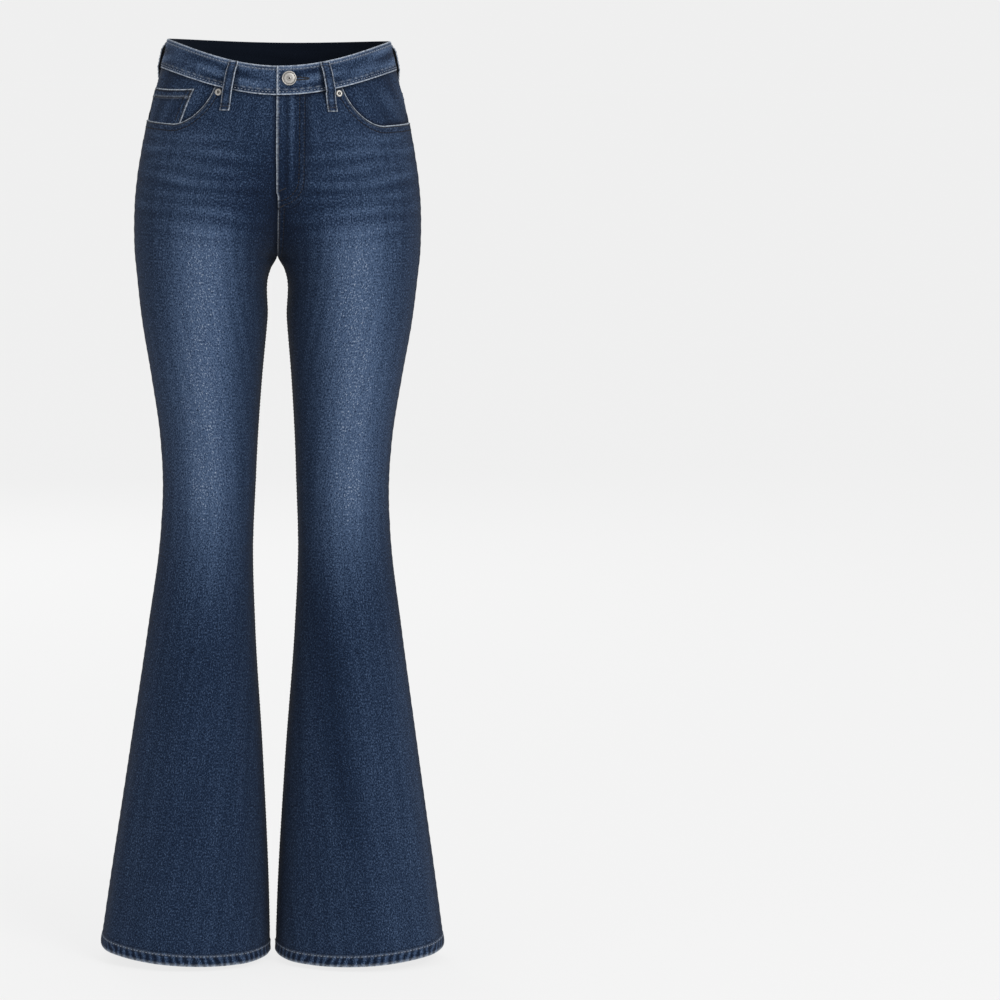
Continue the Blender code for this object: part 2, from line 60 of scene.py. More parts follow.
CM, MM = 0.01, 0.001
FRONT_DIP, BACK_DIP, BAND = 2.9, 0.4, 3.4
CROTCH, RISE_START = 25.6, {"front": 13.0, "back": 9.0}
ARCH, ARCH_START, ARCH_END = 0.8, 12.0, 42.0
SECTION_COLUMNS = ("drop", "outer", "crease", "inner", "front", "back", "side", "inseam")
SECTIONS = np.array((
    (0.0, 13.10, 0.0, 0.00, -9.4, 9.6, 0.0, 1.2),
    (4.0, 14.05, 0.6, 0.00, -9.8, 10.4, 0.0, 1.2),
    (9.0, 15.35, 2.0, 0.00, -10.3, 11.4, 0.0, 1.2),
    (14.0, 16.35, 4.0, 0.00, -10.5, 12.1, 0.0, 1.2),
    (19.0, 16.95, 6.2, 0.00, -10.4, 12.3, 0.1, 1.2),
    (23.0, 17.05, 7.8, 0.00, -10.1, 11.5, 0.2, 1.2),
    (25.6, 16.95, 8.6, 0.00, -9.8, 10.6, 0.2, 1.2),
    (27.0, 16.80, 8.7, 0.80, -9.6, 10.1, 0.2, 1.2),
    (33.0, 16.10, 8.7, 1.20, -9.1, 8.9, 0.0, 0.9),
    (40.0, 14.90, 8.4, 1.80, -8.3, 7.8, -0.2, 0.5),
    (47.0, 13.85, 8.1, 2.25, -7.4, 6.8, -0.3, 0.1),
    (53.0, 13.50, 8.0, 2.50, -6.8, 6.3, -0.3, 0.0),
    (60.0, 13.85, 8.3, 2.75, -6.6, 6.5, -0.1, 0.0),
    (70.0, 15.20, 8.8, 2.40, -6.9, 7.1, 0.0, 0.1),
    (85.0, 17.45, 9.4, 1.30, -7.5, 7.9, 0.1, 0.2),
    (100.0, 19.70, 10.1, 0.45, -8.1, 8.6, 0.2, 0.3),
    (110.0, 21.10, 10.5, 0.16, -8.5, 9.1, 0.3, 0.3),
))
ARC_POINTS, SHARE_CELLS = 90, 300


def ease(low, high, value):
    """0 below low, 1 above high, and smooth between."""
    share = np.clip((np.asarray(value, float) - low) / (high - low), 0.0, 1.0)
    return share * share * (3 - 2 * share)


def until(low, high, value):
    """1 below low, 0 above high, and smooth between."""
    return 1 - ease(low, high, value)


def bell(value, middle, width):
    """A soft bump of height 1."""
    return np.exp(-(((value - middle) / width) ** 2))


def half_section(face, drop):
    """One level run of the form, side seam to centre: x, y, length along it and share of the way, in cm."""
    levels = SECTIONS[:, 0]
    i = int(np.clip(np.searchsorted(levels, drop) - 1, 0, len(levels) - 2))
    step = levels[i + 1] - levels[i]
    t = (drop - levels[i]) / step
    slopes = np.gradient(SECTIONS, levels, axis=0) * step
    row = (
        (2 * t**3 - 3 * t**2 + 1) * SECTIONS[i] + (t**3 - 2 * t**2 + t) * slopes[i]
        + (3 * t**2 - 2 * t**3) * SECTIONS[i + 1] + (t**3 - t**2) * slopes[i + 1]
    )
    at = dict(zip(SECTION_COLUMNS, row))
    reach, crease = at[face], at["crease"]
    turn = np.linspace(0.0, math.pi / 2, ARC_POINTS)
    outer_x = crease + (at["outer"] - crease) * np.cos(turn)
    outer_y = at["side"] + (reach - at["side"]) * np.sin(turn)
    arch = ARCH * float(ease(ARCH_START, CROTCH, drop)) * (1 - float(ease(CROTCH, ARCH_END, drop)))
    under = min(max(0.0, (drop - RISE_START[face]) / (CROTCH - RISE_START[face])), 1.0)
    if drop < CROTCH:
        share = min(math.sqrt(1 - under**2), 0.9999)
        crease = max(crease, arch + 0.01)
        inner = crease - (crease - arch) / math.sqrt(1 - share**2)
        last = math.acos(share)
    else:
        inner, last = math.hypot(max(at["inner"], 0.0), arch), math.pi / 2
    turn = np.linspace(0.0, last, ARC_POINTS)
    inner_x = crease + (inner - crease) * np.sin(turn)
    inner_y = at["inseam"] + (reach - at["inseam"]) * np.cos(turn)
    x = np.sqrt(np.maximum(np.concatenate([outer_x, inner_x[1:]]) ** 2 - arch**2, 0.0))
    y = np.concatenate([outer_y, inner_y[1:]])
    along = np.concatenate([[0.0], np.cumsum(np.hypot(np.diff(x), np.diff(y)))])
    quarter = math.pi / 2 * math.hypot(crease - inner, reach - at["inseam"]) / math.sqrt(2)
    to_crease = along[ARC_POINTS - 1]
    crease_share = to_crease / (to_crease + crease + (quarter - crease) * under**2)
    return x, y, along, np.interp(along, (0.0, to_crease, along[-1]), (0.0, crease_share, 1.0))


form_drops = np.unique(np.concatenate([
    np.arange(0.0, 22.0, 0.25), np.arange(22.0, 27.0, 0.05), [CROTCH], np.arange(27.0, 110.01, 0.25),
]))
form_shares = np.linspace(0.0, 1.0, SHARE_CELLS + 1)
form = {}
for face in ("front", "back"):
    form[face] = np.zeros((len(form_drops), len(form_shares), 3))
    for r, drop in enumerate(form_drops):
        *runs, shares = half_section(face, drop)
        for k, run in enumerate(runs):
            form[face][r, :, k] = np.interp(form_shares, shares, run)


def on_form(face, share, drop):
    """Reads the form: points in metres and the length from the side seam in cm, for whole arrays."""
    share, drop = np.broadcast_arrays(np.asarray(share, float), np.asarray(drop, float))
    across = np.where(share > 1, -1.0, 1.0)
    folded = np.clip(np.where(share > 1, 2 - share, share), 0.0, 1.0) * SHARE_CELLS
    r = np.clip(np.searchsorted(form_drops, drop) - 1, 0, len(form_drops) - 2)
    a = np.clip((drop - form_drops[r]) / (form_drops[r + 1] - form_drops[r]), 0.0, 1.0)[..., None]
    c = np.clip(folded.astype(int), 0, SHARE_CELLS - 1)
    b = (folded - c)[..., None]
    table = form[face]
    value = (1 - a) * ((1 - b) * table[r, c] + b * table[r, c + 1]) + a * (
        (1 - b) * table[r + 1, c] + b * table[r + 1, c + 1])
    return np.stack([across * value[..., 0], value[..., 1], -drop], axis=-1) * CM, value[..., 2]


def girth(face, drop):
    """Length from the side seam to the centre seam or inseam, in cm."""
    return on_form(face, 1.0, drop)[1]


def share_at(face, distance, drop):
    """The share at distances in cm from the side seam, at one drop."""
    return np.interp(distance, on_form(face, form_shares, drop)[1], form_shares)


def waist_top(face, share):
    dip = FRONT_DIP if face == "front" else BACK_DIP
    return dip * np.sin(np.asarray(share) * math.pi / 2) ** 2


def waist_seam(face, share):
    return waist_top(face, share) + BAND


# The cloth: 12 oz right-hand cotton twill, warp dyed with indigo and weft left white, 1.2 mm thick. It was
# stone washed after sewing: dark in the flares, pale down the thighs and nearly white on folded edges.

PANEL, PATCH, BAND_WALL, LOOP_WALL, HEM_WALL = 1.2 * MM, 1.2 * MM, 2.4 * MM, 1.6 * MM, 3.0 * MM
SEAM_GAP, LAP_GAP, BELT_GAP = 0.3 * MM, 0.5 * MM, 5.0 * MM
SEAM_ROWS = ((0.10, 0), (0.15, 1), (0.25, 1), (0.31, 0), (0.74, 0), (0.80, 1), (0.90, 1), (0.96, 0))
ROPE_PITCH = 9.6 * MM
FAR = 99.0            # a distance in cm beyond every mark
garment, laid_on = {}, {}     # each piece of cloth, and the face and side of the form it lies on


def linear(code):
    """An sRGB hex colour as linear RGBA."""
    parts = [int(code[i:i + 2], 16) / 255 for i in (1, 3, 5)]
    return (*(p / 12.92 if p <= 0.04045 else ((p + 0.055) / 1.055) ** 2.4 for p in parts), 1.0)


def add(tree, kind, links=None, **settings):
    """Adds a node. settings are its own properties, and links maps an input's name or number to a value, an
    output or a node, whose first output is meant."""
    node = tree.nodes.new(kind)
    for key, value in settings.items():
        setattr(node, key, value)
    for key, value in (links or {}).items():
        if isinstance(value, bpy.types.Node):
            value = value.outputs[0]
        if isinstance(value, bpy.types.NodeSocket):
            tree.links.new(value, node.inputs[key])
        else:
            node.inputs[key].default_value = value
    return node


def new_material(name, **constants):
    """A material of one shader. constants are its sockets' values, with underscores for blanks in names."""
    made = bpy.data.materials.new(name)
    made.use_nodes = True
    tree = made.node_tree
    tree.nodes.clear()
    shader = add(tree, "ShaderNodeBsdfPrincipled", {k.replace("_", " "): v for k, v in constants.items()})
    add(tree, "ShaderNodeOutputMaterial", {0: shader})
    return made, tree, shader


def washed_denim(name, deep, blue, pale, edge, inside):
    """Washed twill, without gloss. Attribute fade goes from unworn to pale with the wash and also carries
    painted shade towards the seams, in the crotch and in a fold's shadow, worn marks rubbed edges, dark is
    painted shade in the dips beside seams, under edges and under lapped parts, and inner marks the wrong
    side, painted near-black in the colour inside as shade because no light reaches it. seam is the distance
    in cm from a stitched edge, whose two rows of stitches pull dips 2 and 8.5 mm in, and hem the height over
    a hem's fold."""
    made, tree, shader = new_material(name, Roughness=0.92, Specular_IOR_Level=0.08, Sheen_Weight=0.03,
                                      Sheen_Roughness=0.5)
    mix_in, multiply = {"operation": "MULTIPLY_ADD"}, {"operation": "MULTIPLY"}
    smooth = {"interpolation_type": "SMOOTHSTEP"}
    uv = add(tree, "ShaderNodeUVMap", uv_map="grain")
    wash_and_shade, worn, painted_shade, inner, seam, hem = (
        add(tree, "ShaderNodeAttribute", attribute_name=word).outputs["Fac"]
        for word in ("wash_and_shade", "worn", "painted_shade", "inner", "seam", "hem"))
    # Slubs are thick places in the warp, 1 mm wide and 15 mm long. Streaks of the wash are 8 by 150 mm. Grain
    # is single warp floats: the real 0.5 mm is too fine to show, so it is drawn at about 1.8 mm.
    slub, streak, grain = (
        add(tree, "ShaderNodeTexNoise", {
            "Vector": add(tree, "ShaderNodeMapping", {"Vector": uv, "Scale": scale}), "Scale": 1.0,
            "Detail": detail, "Roughness": rough})
        for scale, detail, rough in (((1000.0, 70.0, 1.0), 3.0, 0.6), ((110.0, 7.0, 1.0), 2.0, 0.5),
                                     ((640.0, 430.0, 1.0), 4.0, 0.75)))
    # Twill lines rise to the right. The real 0.9 mm pitch is drawn at 1.8 mm so that it shows close by.
    turned = add(tree, "ShaderNodeMapping", {"Vector": uv, "Rotation": (0.0, 0.0, math.radians(28))})
    twill = add(tree, "ShaderNodeTexWave", {
        "Vector": turned, "Scale": 175.0, "Distortion": 1.2, "Detail": 1.0, "Detail Scale": 0.6,
    }, wave_type="BANDS", bands_direction="X").outputs[1]
    # Each part of the weave swings the wear up and down about its own mean.
    weave = add(tree, "ShaderNodeMath", {0: grain, 1: 4.0, 2: -2.65}, **mix_in)
    for pattern, gain in ((slub, 0.9), (streak, 0.34), (twill, 0.06)):
        weave = add(tree, "ShaderNodeMath", {0: pattern, 1: gain, 2: weave}, **mix_in)
    wear = add(tree, "ShaderNodeMath", {0: weave, 1: 0.50, 2: wash_and_shade}, **mix_in)
    # Between the rows the cloth puckers, and the puckers rub pale in flecks.
    patches = add(tree, "ShaderNodeTexNoise", {"Vector": uv, "Scale": 330.0, "Detail": 3.0, "Roughness": 0.7})
    flecks = add(tree, "ShaderNodeMath", {0: patches, 1: 7.0, 2: -3.5}, use_clamp=True, **mix_in)
    near_rows = add(tree, "ShaderNodeMapRange", {"Value": seam, 1: 1.05, 2: 0.85, 3: 0.0, 4: 0.26}, **smooth)
    off_edge = add(tree, "ShaderNodeMapRange", {"Value": seam, 1: 0.0, 2: 0.2}, **smooth)
    pucker = add(tree, "ShaderNodeMath", {0: near_rows, 1: off_edge}, **multiply)
    wear = add(tree, "ShaderNodeMath", {0: pucker, 1: flecks, 2: wear}, **mix_in)
    # Roping: the turned-up hem twists as it is sewn and rubs in slanted marks.
    uneven = add(tree, "ShaderNodeTexNoise", {"Vector": uv, "Scale": 60.0, "Detail": 1.0})
    flat = add(tree, "ShaderNodeSeparateXYZ", {0: uv})
    turns = add(tree, "ShaderNodeMath", {0: flat, 1: 2 * math.pi / ROPE_PITCH}, **multiply)
    for pattern, gain in ((uneven, 7.0), (hem, 2.6)):
        turns = add(tree, "ShaderNodeMath", {0: pattern, 1: gain, 2: turns}, **mix_in)
    wave = add(tree, "ShaderNodeMath", {0: turns}, operation="SINE")
    turned_up = add(tree, "ShaderNodeMapRange", {"Value": hem, 1: 1.40, 2: 1.28}, **smooth)
    roped = add(tree, "ShaderNodeMath", {0: wave, 1: turned_up}, **multiply)
    wear = add(tree, "ShaderNodeMath", {0: roped, 1: 0.17, 2: wear}, **mix_in)
    ramp = add(tree, "ShaderNodeValToRGB", {0: wear})
    stops = ramp.color_ramp.elements
    stops[0].position, stops[0].color = 0.0, linear(deep)
    stops[1].position, stops[1].color = 1.0, linear(edge)
    stops.new(0.34).color = linear(blue)
    stops.new(0.78).color = linear(pale)
    # Folded edges rub through to the white cotton in broken stretches.
    broken = add(tree, "ShaderNodeMath", {0: patches, 1: 3.2, 2: -0.85}, **mix_in)
    rubbed = add(tree, "ShaderNodeMath", {0: worn, 1: broken}, use_clamp=True, **multiply)
    # The rows of stitches pull the cloth down into two narrow dips, which are bumped and also painted in
    # shade.
    rows = add(tree, "ShaderNodeValToRGB", {0: seam})
    stops = rows.color_ramp.elements
    stops[0].color = stops[1].color = (0.0, 0.0, 0.0, 1.0)
    for place, level in SEAM_ROWS:
        stops.new(place).color = (level, level, level, 1.0)
    # Painted shade: the stitch rows' dips, the painted shade attribute and the hollows of the roped hem mix
    # the colour towards the deep tone.
    shade = add(tree, "ShaderNodeMath", {0: rows, 1: 0.85, 2: painted_shade}, **mix_in)
    hollow = add(tree, "ShaderNodeMath", {0: roped, 1: -0.30, 2: shade}, use_clamp=True, **mix_in)
    shade = add(tree, "ShaderNodeMath", {0: hollow, 1: 0.85}, use_clamp=True, **multiply)
    colour = ramp.outputs[0]
    for share, tone in ((rubbed, edge), (shade, deep), (inner, inside)):
        colour = add(tree, "ShaderNodeMix", {0: share, 6: colour, 7: linear(tone)}, data_type="RGBA")
        colour = colour.outputs[2]
    tree.links.new(colour, shader.inputs["Base Color"])
    ribs = add(tree, "ShaderNodeMath", {0: twill, 1: 0.5, 2: grain}, **mix_in)
    for pattern, gain in ((rows, -1.2), (roped, 0.9)):
        ribs = add(tree, "ShaderNodeMath", {0: pattern, 1: gain, 2: ribs}, **mix_in)
    bump = add(tree, "ShaderNodeBump", {"Height": ribs, "Strength": 0.6, "Distance": 0.0005})
    tree.links.new(bump.outputs[0], shader.inputs["Normal"])
    return made


# The last colour, for the wrong side, is painted near-black shade, as no light reaches inside the garment.
denim = washed_denim("washed_indigo_denim", "#0b1322", "#18273e", "#516583", "#b2bbc7", "#111824")


def lay_cloth(node, face, side, share, drop, lift, wall, wash_and_shade, worn, painted_shade, relief=0.0, seam=9.0, hem=9.0):
    """A wall of cloth on the form from grids of share and drop, rows down and columns from the side inwards.
    lift is its outer face's height over the form in metres, relief adds mm to both faces, and side is 1 for
    the wearer's left and -1 for the right."""
    base, along = on_form(face, share, drop)
    out = np.cross(np.gradient(base, axis=1), np.gradient(base, axis=0))
    out = out / np.maximum(np.linalg.norm(out, axis=-1, keepdims=True), 1e-12) * (-1 if face == "back" else 1)
    height = np.zeros(share.shape) + lift + relief * MM
    outer, inner = ((base + out * up[..., None]) * (side, 1, 1) for up in (height, height - wall))
    grain = np.stack([along * CM, -drop * CM], axis=-1)
    laid_on[node] = face, side
    flip = (side > 0) == (face == "front")
    return close_wall(node, outer, inner, grain, wash_and_shade, worn, np.clip(painted_shade, 0, 1), flip, seam, hem)


def close_wall(node, outer, inner, grain, wash_and_shade, worn, painted_shade, flip, seam=9.0, hem=9.0):
    """A closed mesh of an outer and an inner grid of points, a rim round them and the attributes of the wear
    and the painted shade.
    """
    rows, columns = outer.shape[:2]
    count = rows * columns
    index = np.arange(count).reshape(rows, columns)
    quads = np.stack([index[:-1, :-1], index[1:, :-1], index[1:, 1:], index[:-1, 1:]], axis=-1).reshape(-1, 4)
    ring = np.concatenate([index[0, :-1], index[:-1, -1], index[-1, :0:-1], index[:0:-1, 0]])
    after = np.roll(ring, -1)
    rim = np.stack([ring, after, after + count, ring + count], axis=-1)
    faces = np.concatenate([quads, quads[:, ::-1] + count, rim])
    if flip:
        faces = faces[:, ::-1]
    mesh = bpy.data.meshes.new(node + "_denim")
    points = np.concatenate([outer.reshape(-1, 3), inner.reshape(-1, 3)])
    mesh.vertices.add(len(points))
    mesh.vertices.foreach_set("co", points.astype(np.float32).ravel())
    mesh.loops.add(faces.size)
    mesh.loops.foreach_set("vertex_index", faces.astype(np.int32).ravel())
    mesh.polygons.add(len(faces))
    mesh.polygons.foreach_set("loop_start", np.arange(0, faces.size, 4, dtype=np.int32))
    mesh.update(calc_edges=True)
    mesh.validate()
    paint = {"wash_and_shade": wash_and_shade, "worn": np.clip(worn, 0, 1), "painted_shade": painted_shade, "seam": seam, "hem": hem}
    both = {key: np.tile(np.broadcast_to(value, (rows, columns)).ravel(), 2) for key, value in paint.items()}
    both["inner"] = np.repeat((0.0, 1.0), count)
    for key, values in both.items():
        mesh.attributes.new(key, "FLOAT", "POINT").data.foreach_set("value", values.astype(np.float32))
    flat = np.tile(grain.reshape(-1, 2), (2, 1))
    corner = np.zeros(len(mesh.loops), dtype=np.int32)
    mesh.loops.foreach_get("vertex_index", corner)
    mesh.uv_layers.new(name="grain").data.foreach_set("uv", flat[corner].astype(np.float32).ravel())
    mesh.shade_smooth()
    mesh.set_sharp_from_angle(angle=math.radians(60))
    mesh.materials.append(denim)
    garment[node] = bpy.data.objects.new(node + "_denim", mesh)
    bpy.context.scene.collection.objects.link(garment[node])
    return garment[node]


def show(piece, node):
    """The piece is shown in place of its CAD node, which is hidden, and rides with the whole garment."""
    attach(piece, "root")
    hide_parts(node)


def steps(*marks):
    """Cell borders through the marks: each is a place one cell on from the last, or (place, cells)."""
    marks = [mark if isinstance(mark, tuple) else (mark, 1) for mark in marks]
    runs = [np.linspace(a[0], b[0], b[1] + 1)[:-1] for a, b in zip(marks[:-1], marks[1:])]
    return np.concatenate([*runs, [marks[-1][0]]])


# The front legs: two panels cut from the denim, joined at the side seams, inseams and front rise. A scooped
# mouth with a doubled edge is cut out of each for the pocket, and the left one carries the doubled fly, which
# laps over the right. The bottoms are turned up 14 mm and sewn round.

HEM, HEM_OUTER, HEM_INNER, HEM_DIP = 1.4, 108.6, 109.5, 0.75
HEM_ROWS = (1.75, HEM + 0.1, HEM, HEM - 0.12, 1.0, 0.7, 0.4, 0.15, 0.05, 0.0)
EDGE_COLUMNS = np.array((0.0, 0.08, 0.2, 0.4))
MOUTH_END, MOUTH_LOW, MOUTH_FLAT, MOUTH_REACH = 9.5, 9.8, 7.7, 11.8
FIRST_LEVEL = 14.0    # the drop of the first level row, below the mouth
TUCK = 0.5            # how far the panels run up inside the band
FLY_WIDTH, FLY_END, LAP = 3.3, 17.5, 0.25
J_INSET, J_START, J_DEPTH = 3.1, 16.0, 3.2
WHISKERS = (          # drop at the side, drop at the fly, start and end as shares, depth in mm, paleness
    (10.8, 11.6, 0.06, 0.86, 0.40, 0.13),
    (12.4, 13.4, 0.02, 0.97, 0.65, 0.18),
    (14.2, 15.0, 0.10, 0.90, 0.50, 0.12),
    (15.6, 16.9, 0.03, 0.98, 0.75, 0.19),
    (17.5, 18.6, 0.12, 0.88, 0.55, 0.13),
    (19.0, 20.7, 0.04, 0.96, 0.70, 0.16),
    (21.6, 22.6, 0.18, 0.84, 0.40, 0.10),
)
KNEE_FOLDS = (        # drop at the side, drop at the inseam, start, end, depth in mm
    (49.0, 51.2, 0.02, 0.40, 0.7),
    (53.4, 52.2, 0.55, 0.98, 0.8),
    (57.0, 55.0, 0.00, 0.30, 0.6),
    (60.6, 58.6, 0.62, 1.00, 0.6),
)
FLARE_FOLDS = (       # share of the way across at the knee and at the hem, depth in mm, width in shares
    (0.28, 0.16, 1.6, 0.055),
    (0.47, 0.42, 1.1, 0.060),
    (0.70, 0.78, 1.7, 0.055),
)


def hem_drop(share):
    dip = HEM_DIP * np.sin(math.pi * np.clip(share, 0, 1))
    return HEM_OUTER + (HEM_INNER - HEM_OUTER) * (1 - np.cos(math.pi * share)) / 2 + dip


def mouth(part):
    """Distance from the side seam and drop along the pocket's mouth, for arrays of parts of the way."""
    seam = float(waist_seam("front", share_at("front", MOUTH_REACH, 6.0)))
    turn = np.linspace(0.0, math.pi / 2, 60)
    xs = np.concatenate([[0.0], MOUTH_FLAT + (MOUTH_REACH - MOUTH_FLAT) * np.sin(turn)])
    ys = np.concatenate([[MOUTH_END], MOUTH_LOW - (MOUTH_LOW - seam) * (1 - np.cos(turn))])
    length = np.concatenate([[0.0], np.cumsum(np.hypot(np.diff(xs), np.diff(ys)))])
    return [np.interp(np.asarray(part) * length[-1], length, values) for values in (xs, ys)]


def level_shares(drop, lap):
    """The front's columns at one drop: close together at the seams and at the fly's edge."""
    around = float(girth("front", drop))
    start = share_at("front", EDGE_COLUMNS, drop)
    fly = float(share_at("front", around - FLY_WIDTH, drop))
    fly += (0.857 - fly) * float(ease(20.0, 34.0, drop))
    width = around - float(on_form("front", fly, drop)[1])
    middle = np.linspace(start[-1], fly, 51)[1:]
    left = np.concatenate([width * (1 - np.linspace(0.0, 1.0, 22)[1:-1]), (0.2, 0.08, 0.0)])
    left = np.minimum.accumulate(left)
    if lap:
        left = left - LAP * (1 - left / width) * (1 - float(ease(FLY_END, FLY_END + 0.6, drop)))
    end = share_at("front", around - np.maximum(left, 0.0), drop)
    return np.concatenate([start, middle, np.where(left < 0, 1 - left / around, end)])


def down_leg(shares, drops, columns, foot, *marks):
    """Adds the level rows at the marks and the rows over the hem to lists of grids of share and drop."""
    for at in steps(*marks):
        shares.append(columns(at)[None])
        drops.append(np.full((1, len(foot)), at))
    for up in HEM_ROWS:
        shares.append(foot[None])
        drops.append((hem_drop(foot) - up)[None])
    return np.concatenate(shares), np.concatenate(drops)


def front_grid(lap):
    """Grids of share and drop. The rows fan out from the mouth and the waist seam to the first level row."""
    level = level_shares(FIRST_LEVEL, lap)
    part = np.concatenate([EDGE_COLUMNS / 14.2, np.linspace(0.4 / 14.2, 1.0, 37)[1:]])
    distance, drop = mouth(part)
    share = np.array([float(share_at("front", a, b)) for a, b in zip(distance, drop)])
    rest = level_shares(6.3, lap)[len(part):]
    share = np.concatenate([share, np.linspace(share[-1], rest[13], 15)[1:], rest[14:]])
    drop = np.concatenate([drop, waist_seam("front", share[len(part):])]) + 0.015
    parts = steps(0.0, 0.012, 0.03, 0.06, (1.0, 21))[:-1, None]
    tucked = np.where(np.arange(len(share)) < len(part), 0.01, TUCK)
    shares = [share[None], share + (level - share) * parts]
    drops = [(drop - tucked)[None], drop + (FIRST_LEVEL - drop) * parts]
    return down_leg(shares, drops, lambda at: level_shares(at, lap), level_shares(108.0, False),
                    (FIRST_LEVEL, 0), (17.3, 10), (18.3, 4), (30.0, 34), (106.6, 170))


def distance_to(a, b, path):
    """Distance in cm from points (a, b) on the flat cloth to a path of many points."""
    best = np.full(a.shape, FAR)
    for p, q in path:
        best = np.minimum(best, np.hypot(a - p, b - q))
    return best


def folds_over(share, drop, table):
    """Height in mm of soft ridges that run across: columns drop at start, drop at end, from, to, depth."""
    height = np.zeros(share.shape)
    for start, end, low, high, depth, *_ in table:
        middle = start + (end - start) * ease(low, high, share) + 0.25 * np.sin(share * 9 + start)
        reach = ease(low - 0.06, low + 0.12, share) * until(high - 0.16, high + 0.06, share)
        width = 0.55 + 0.12 * math.sin(start * 7)
        height += depth * reach * (bell(drop, middle, width) - 0.6 * bell(drop, middle + 1.15, width * 0.9))
    return height


def flare_relief(share, drop, table, shift):
    """Height in mm of the flare's long upright folds, which open downwards."""
    height = np.zeros(share.shape)
    for knee, hem, depth, width in table:
        middle = knee + (hem - knee) * ease(58.0, 108.0, drop) + shift
        height += depth * ease(62.0, 98.0, drop) * (bell(share, middle, width) - 0.45)
    return height


def rope(along, width=1.0):
    """The slanted rubbed marks of a roped hem or felled seam, from 0 to 1, with an uneven pitch."""
    wobble = 0.9 * np.sin(along * 0.63) + 0.5 * np.sin(along * 1.71 + 1.0)
    return 0.5 + 0.5 * np.sin(2 * math.pi * along / width + wobble)


def hem_marks(up):
    """The rubbed wear, the painted shade, the relief in mm and the wall of a leg whose bottom is turned up,
    up cm over its fold.
    """
    band = until(HEM - 0.1, HEM + 0.15, up)
    worn = 0.8 * until(0.05, 0.26, up) + 0.15 * bell(up, HEM - 0.10, 0.10)
    painted_shade = 0.30 * band * bell(up, 0.45, 0.35) + 0.6 * bell(up, HEM + 0.16, 0.12)
    wall = PANEL + (HEM_WALL - PANEL) * until(HEM - 0.1, HEM + 0.1, up)
    return worn, painted_shade, band * 0.6 - 0.7 * until(0.0, 0.14, up), wall


def side_seam(along, drop, length, bend):
    """The rubbed wear, the painted shade in the seam's groove and the relief in mm beside the side seam,
    which is busted open and puckers the cloth.
    """
    pucker = 0.22 * until(0.2, 1.0, along) * np.sin(2 * math.pi * drop / length + np.sin(drop * bend))
    return (0.42 * bell(along, 0.22, 0.10) * rope(drop, 1.1), 0.75 * bell(along, 0.0, 0.10),
            pucker - 0.8 * bell(along, 0.0, 0.13))


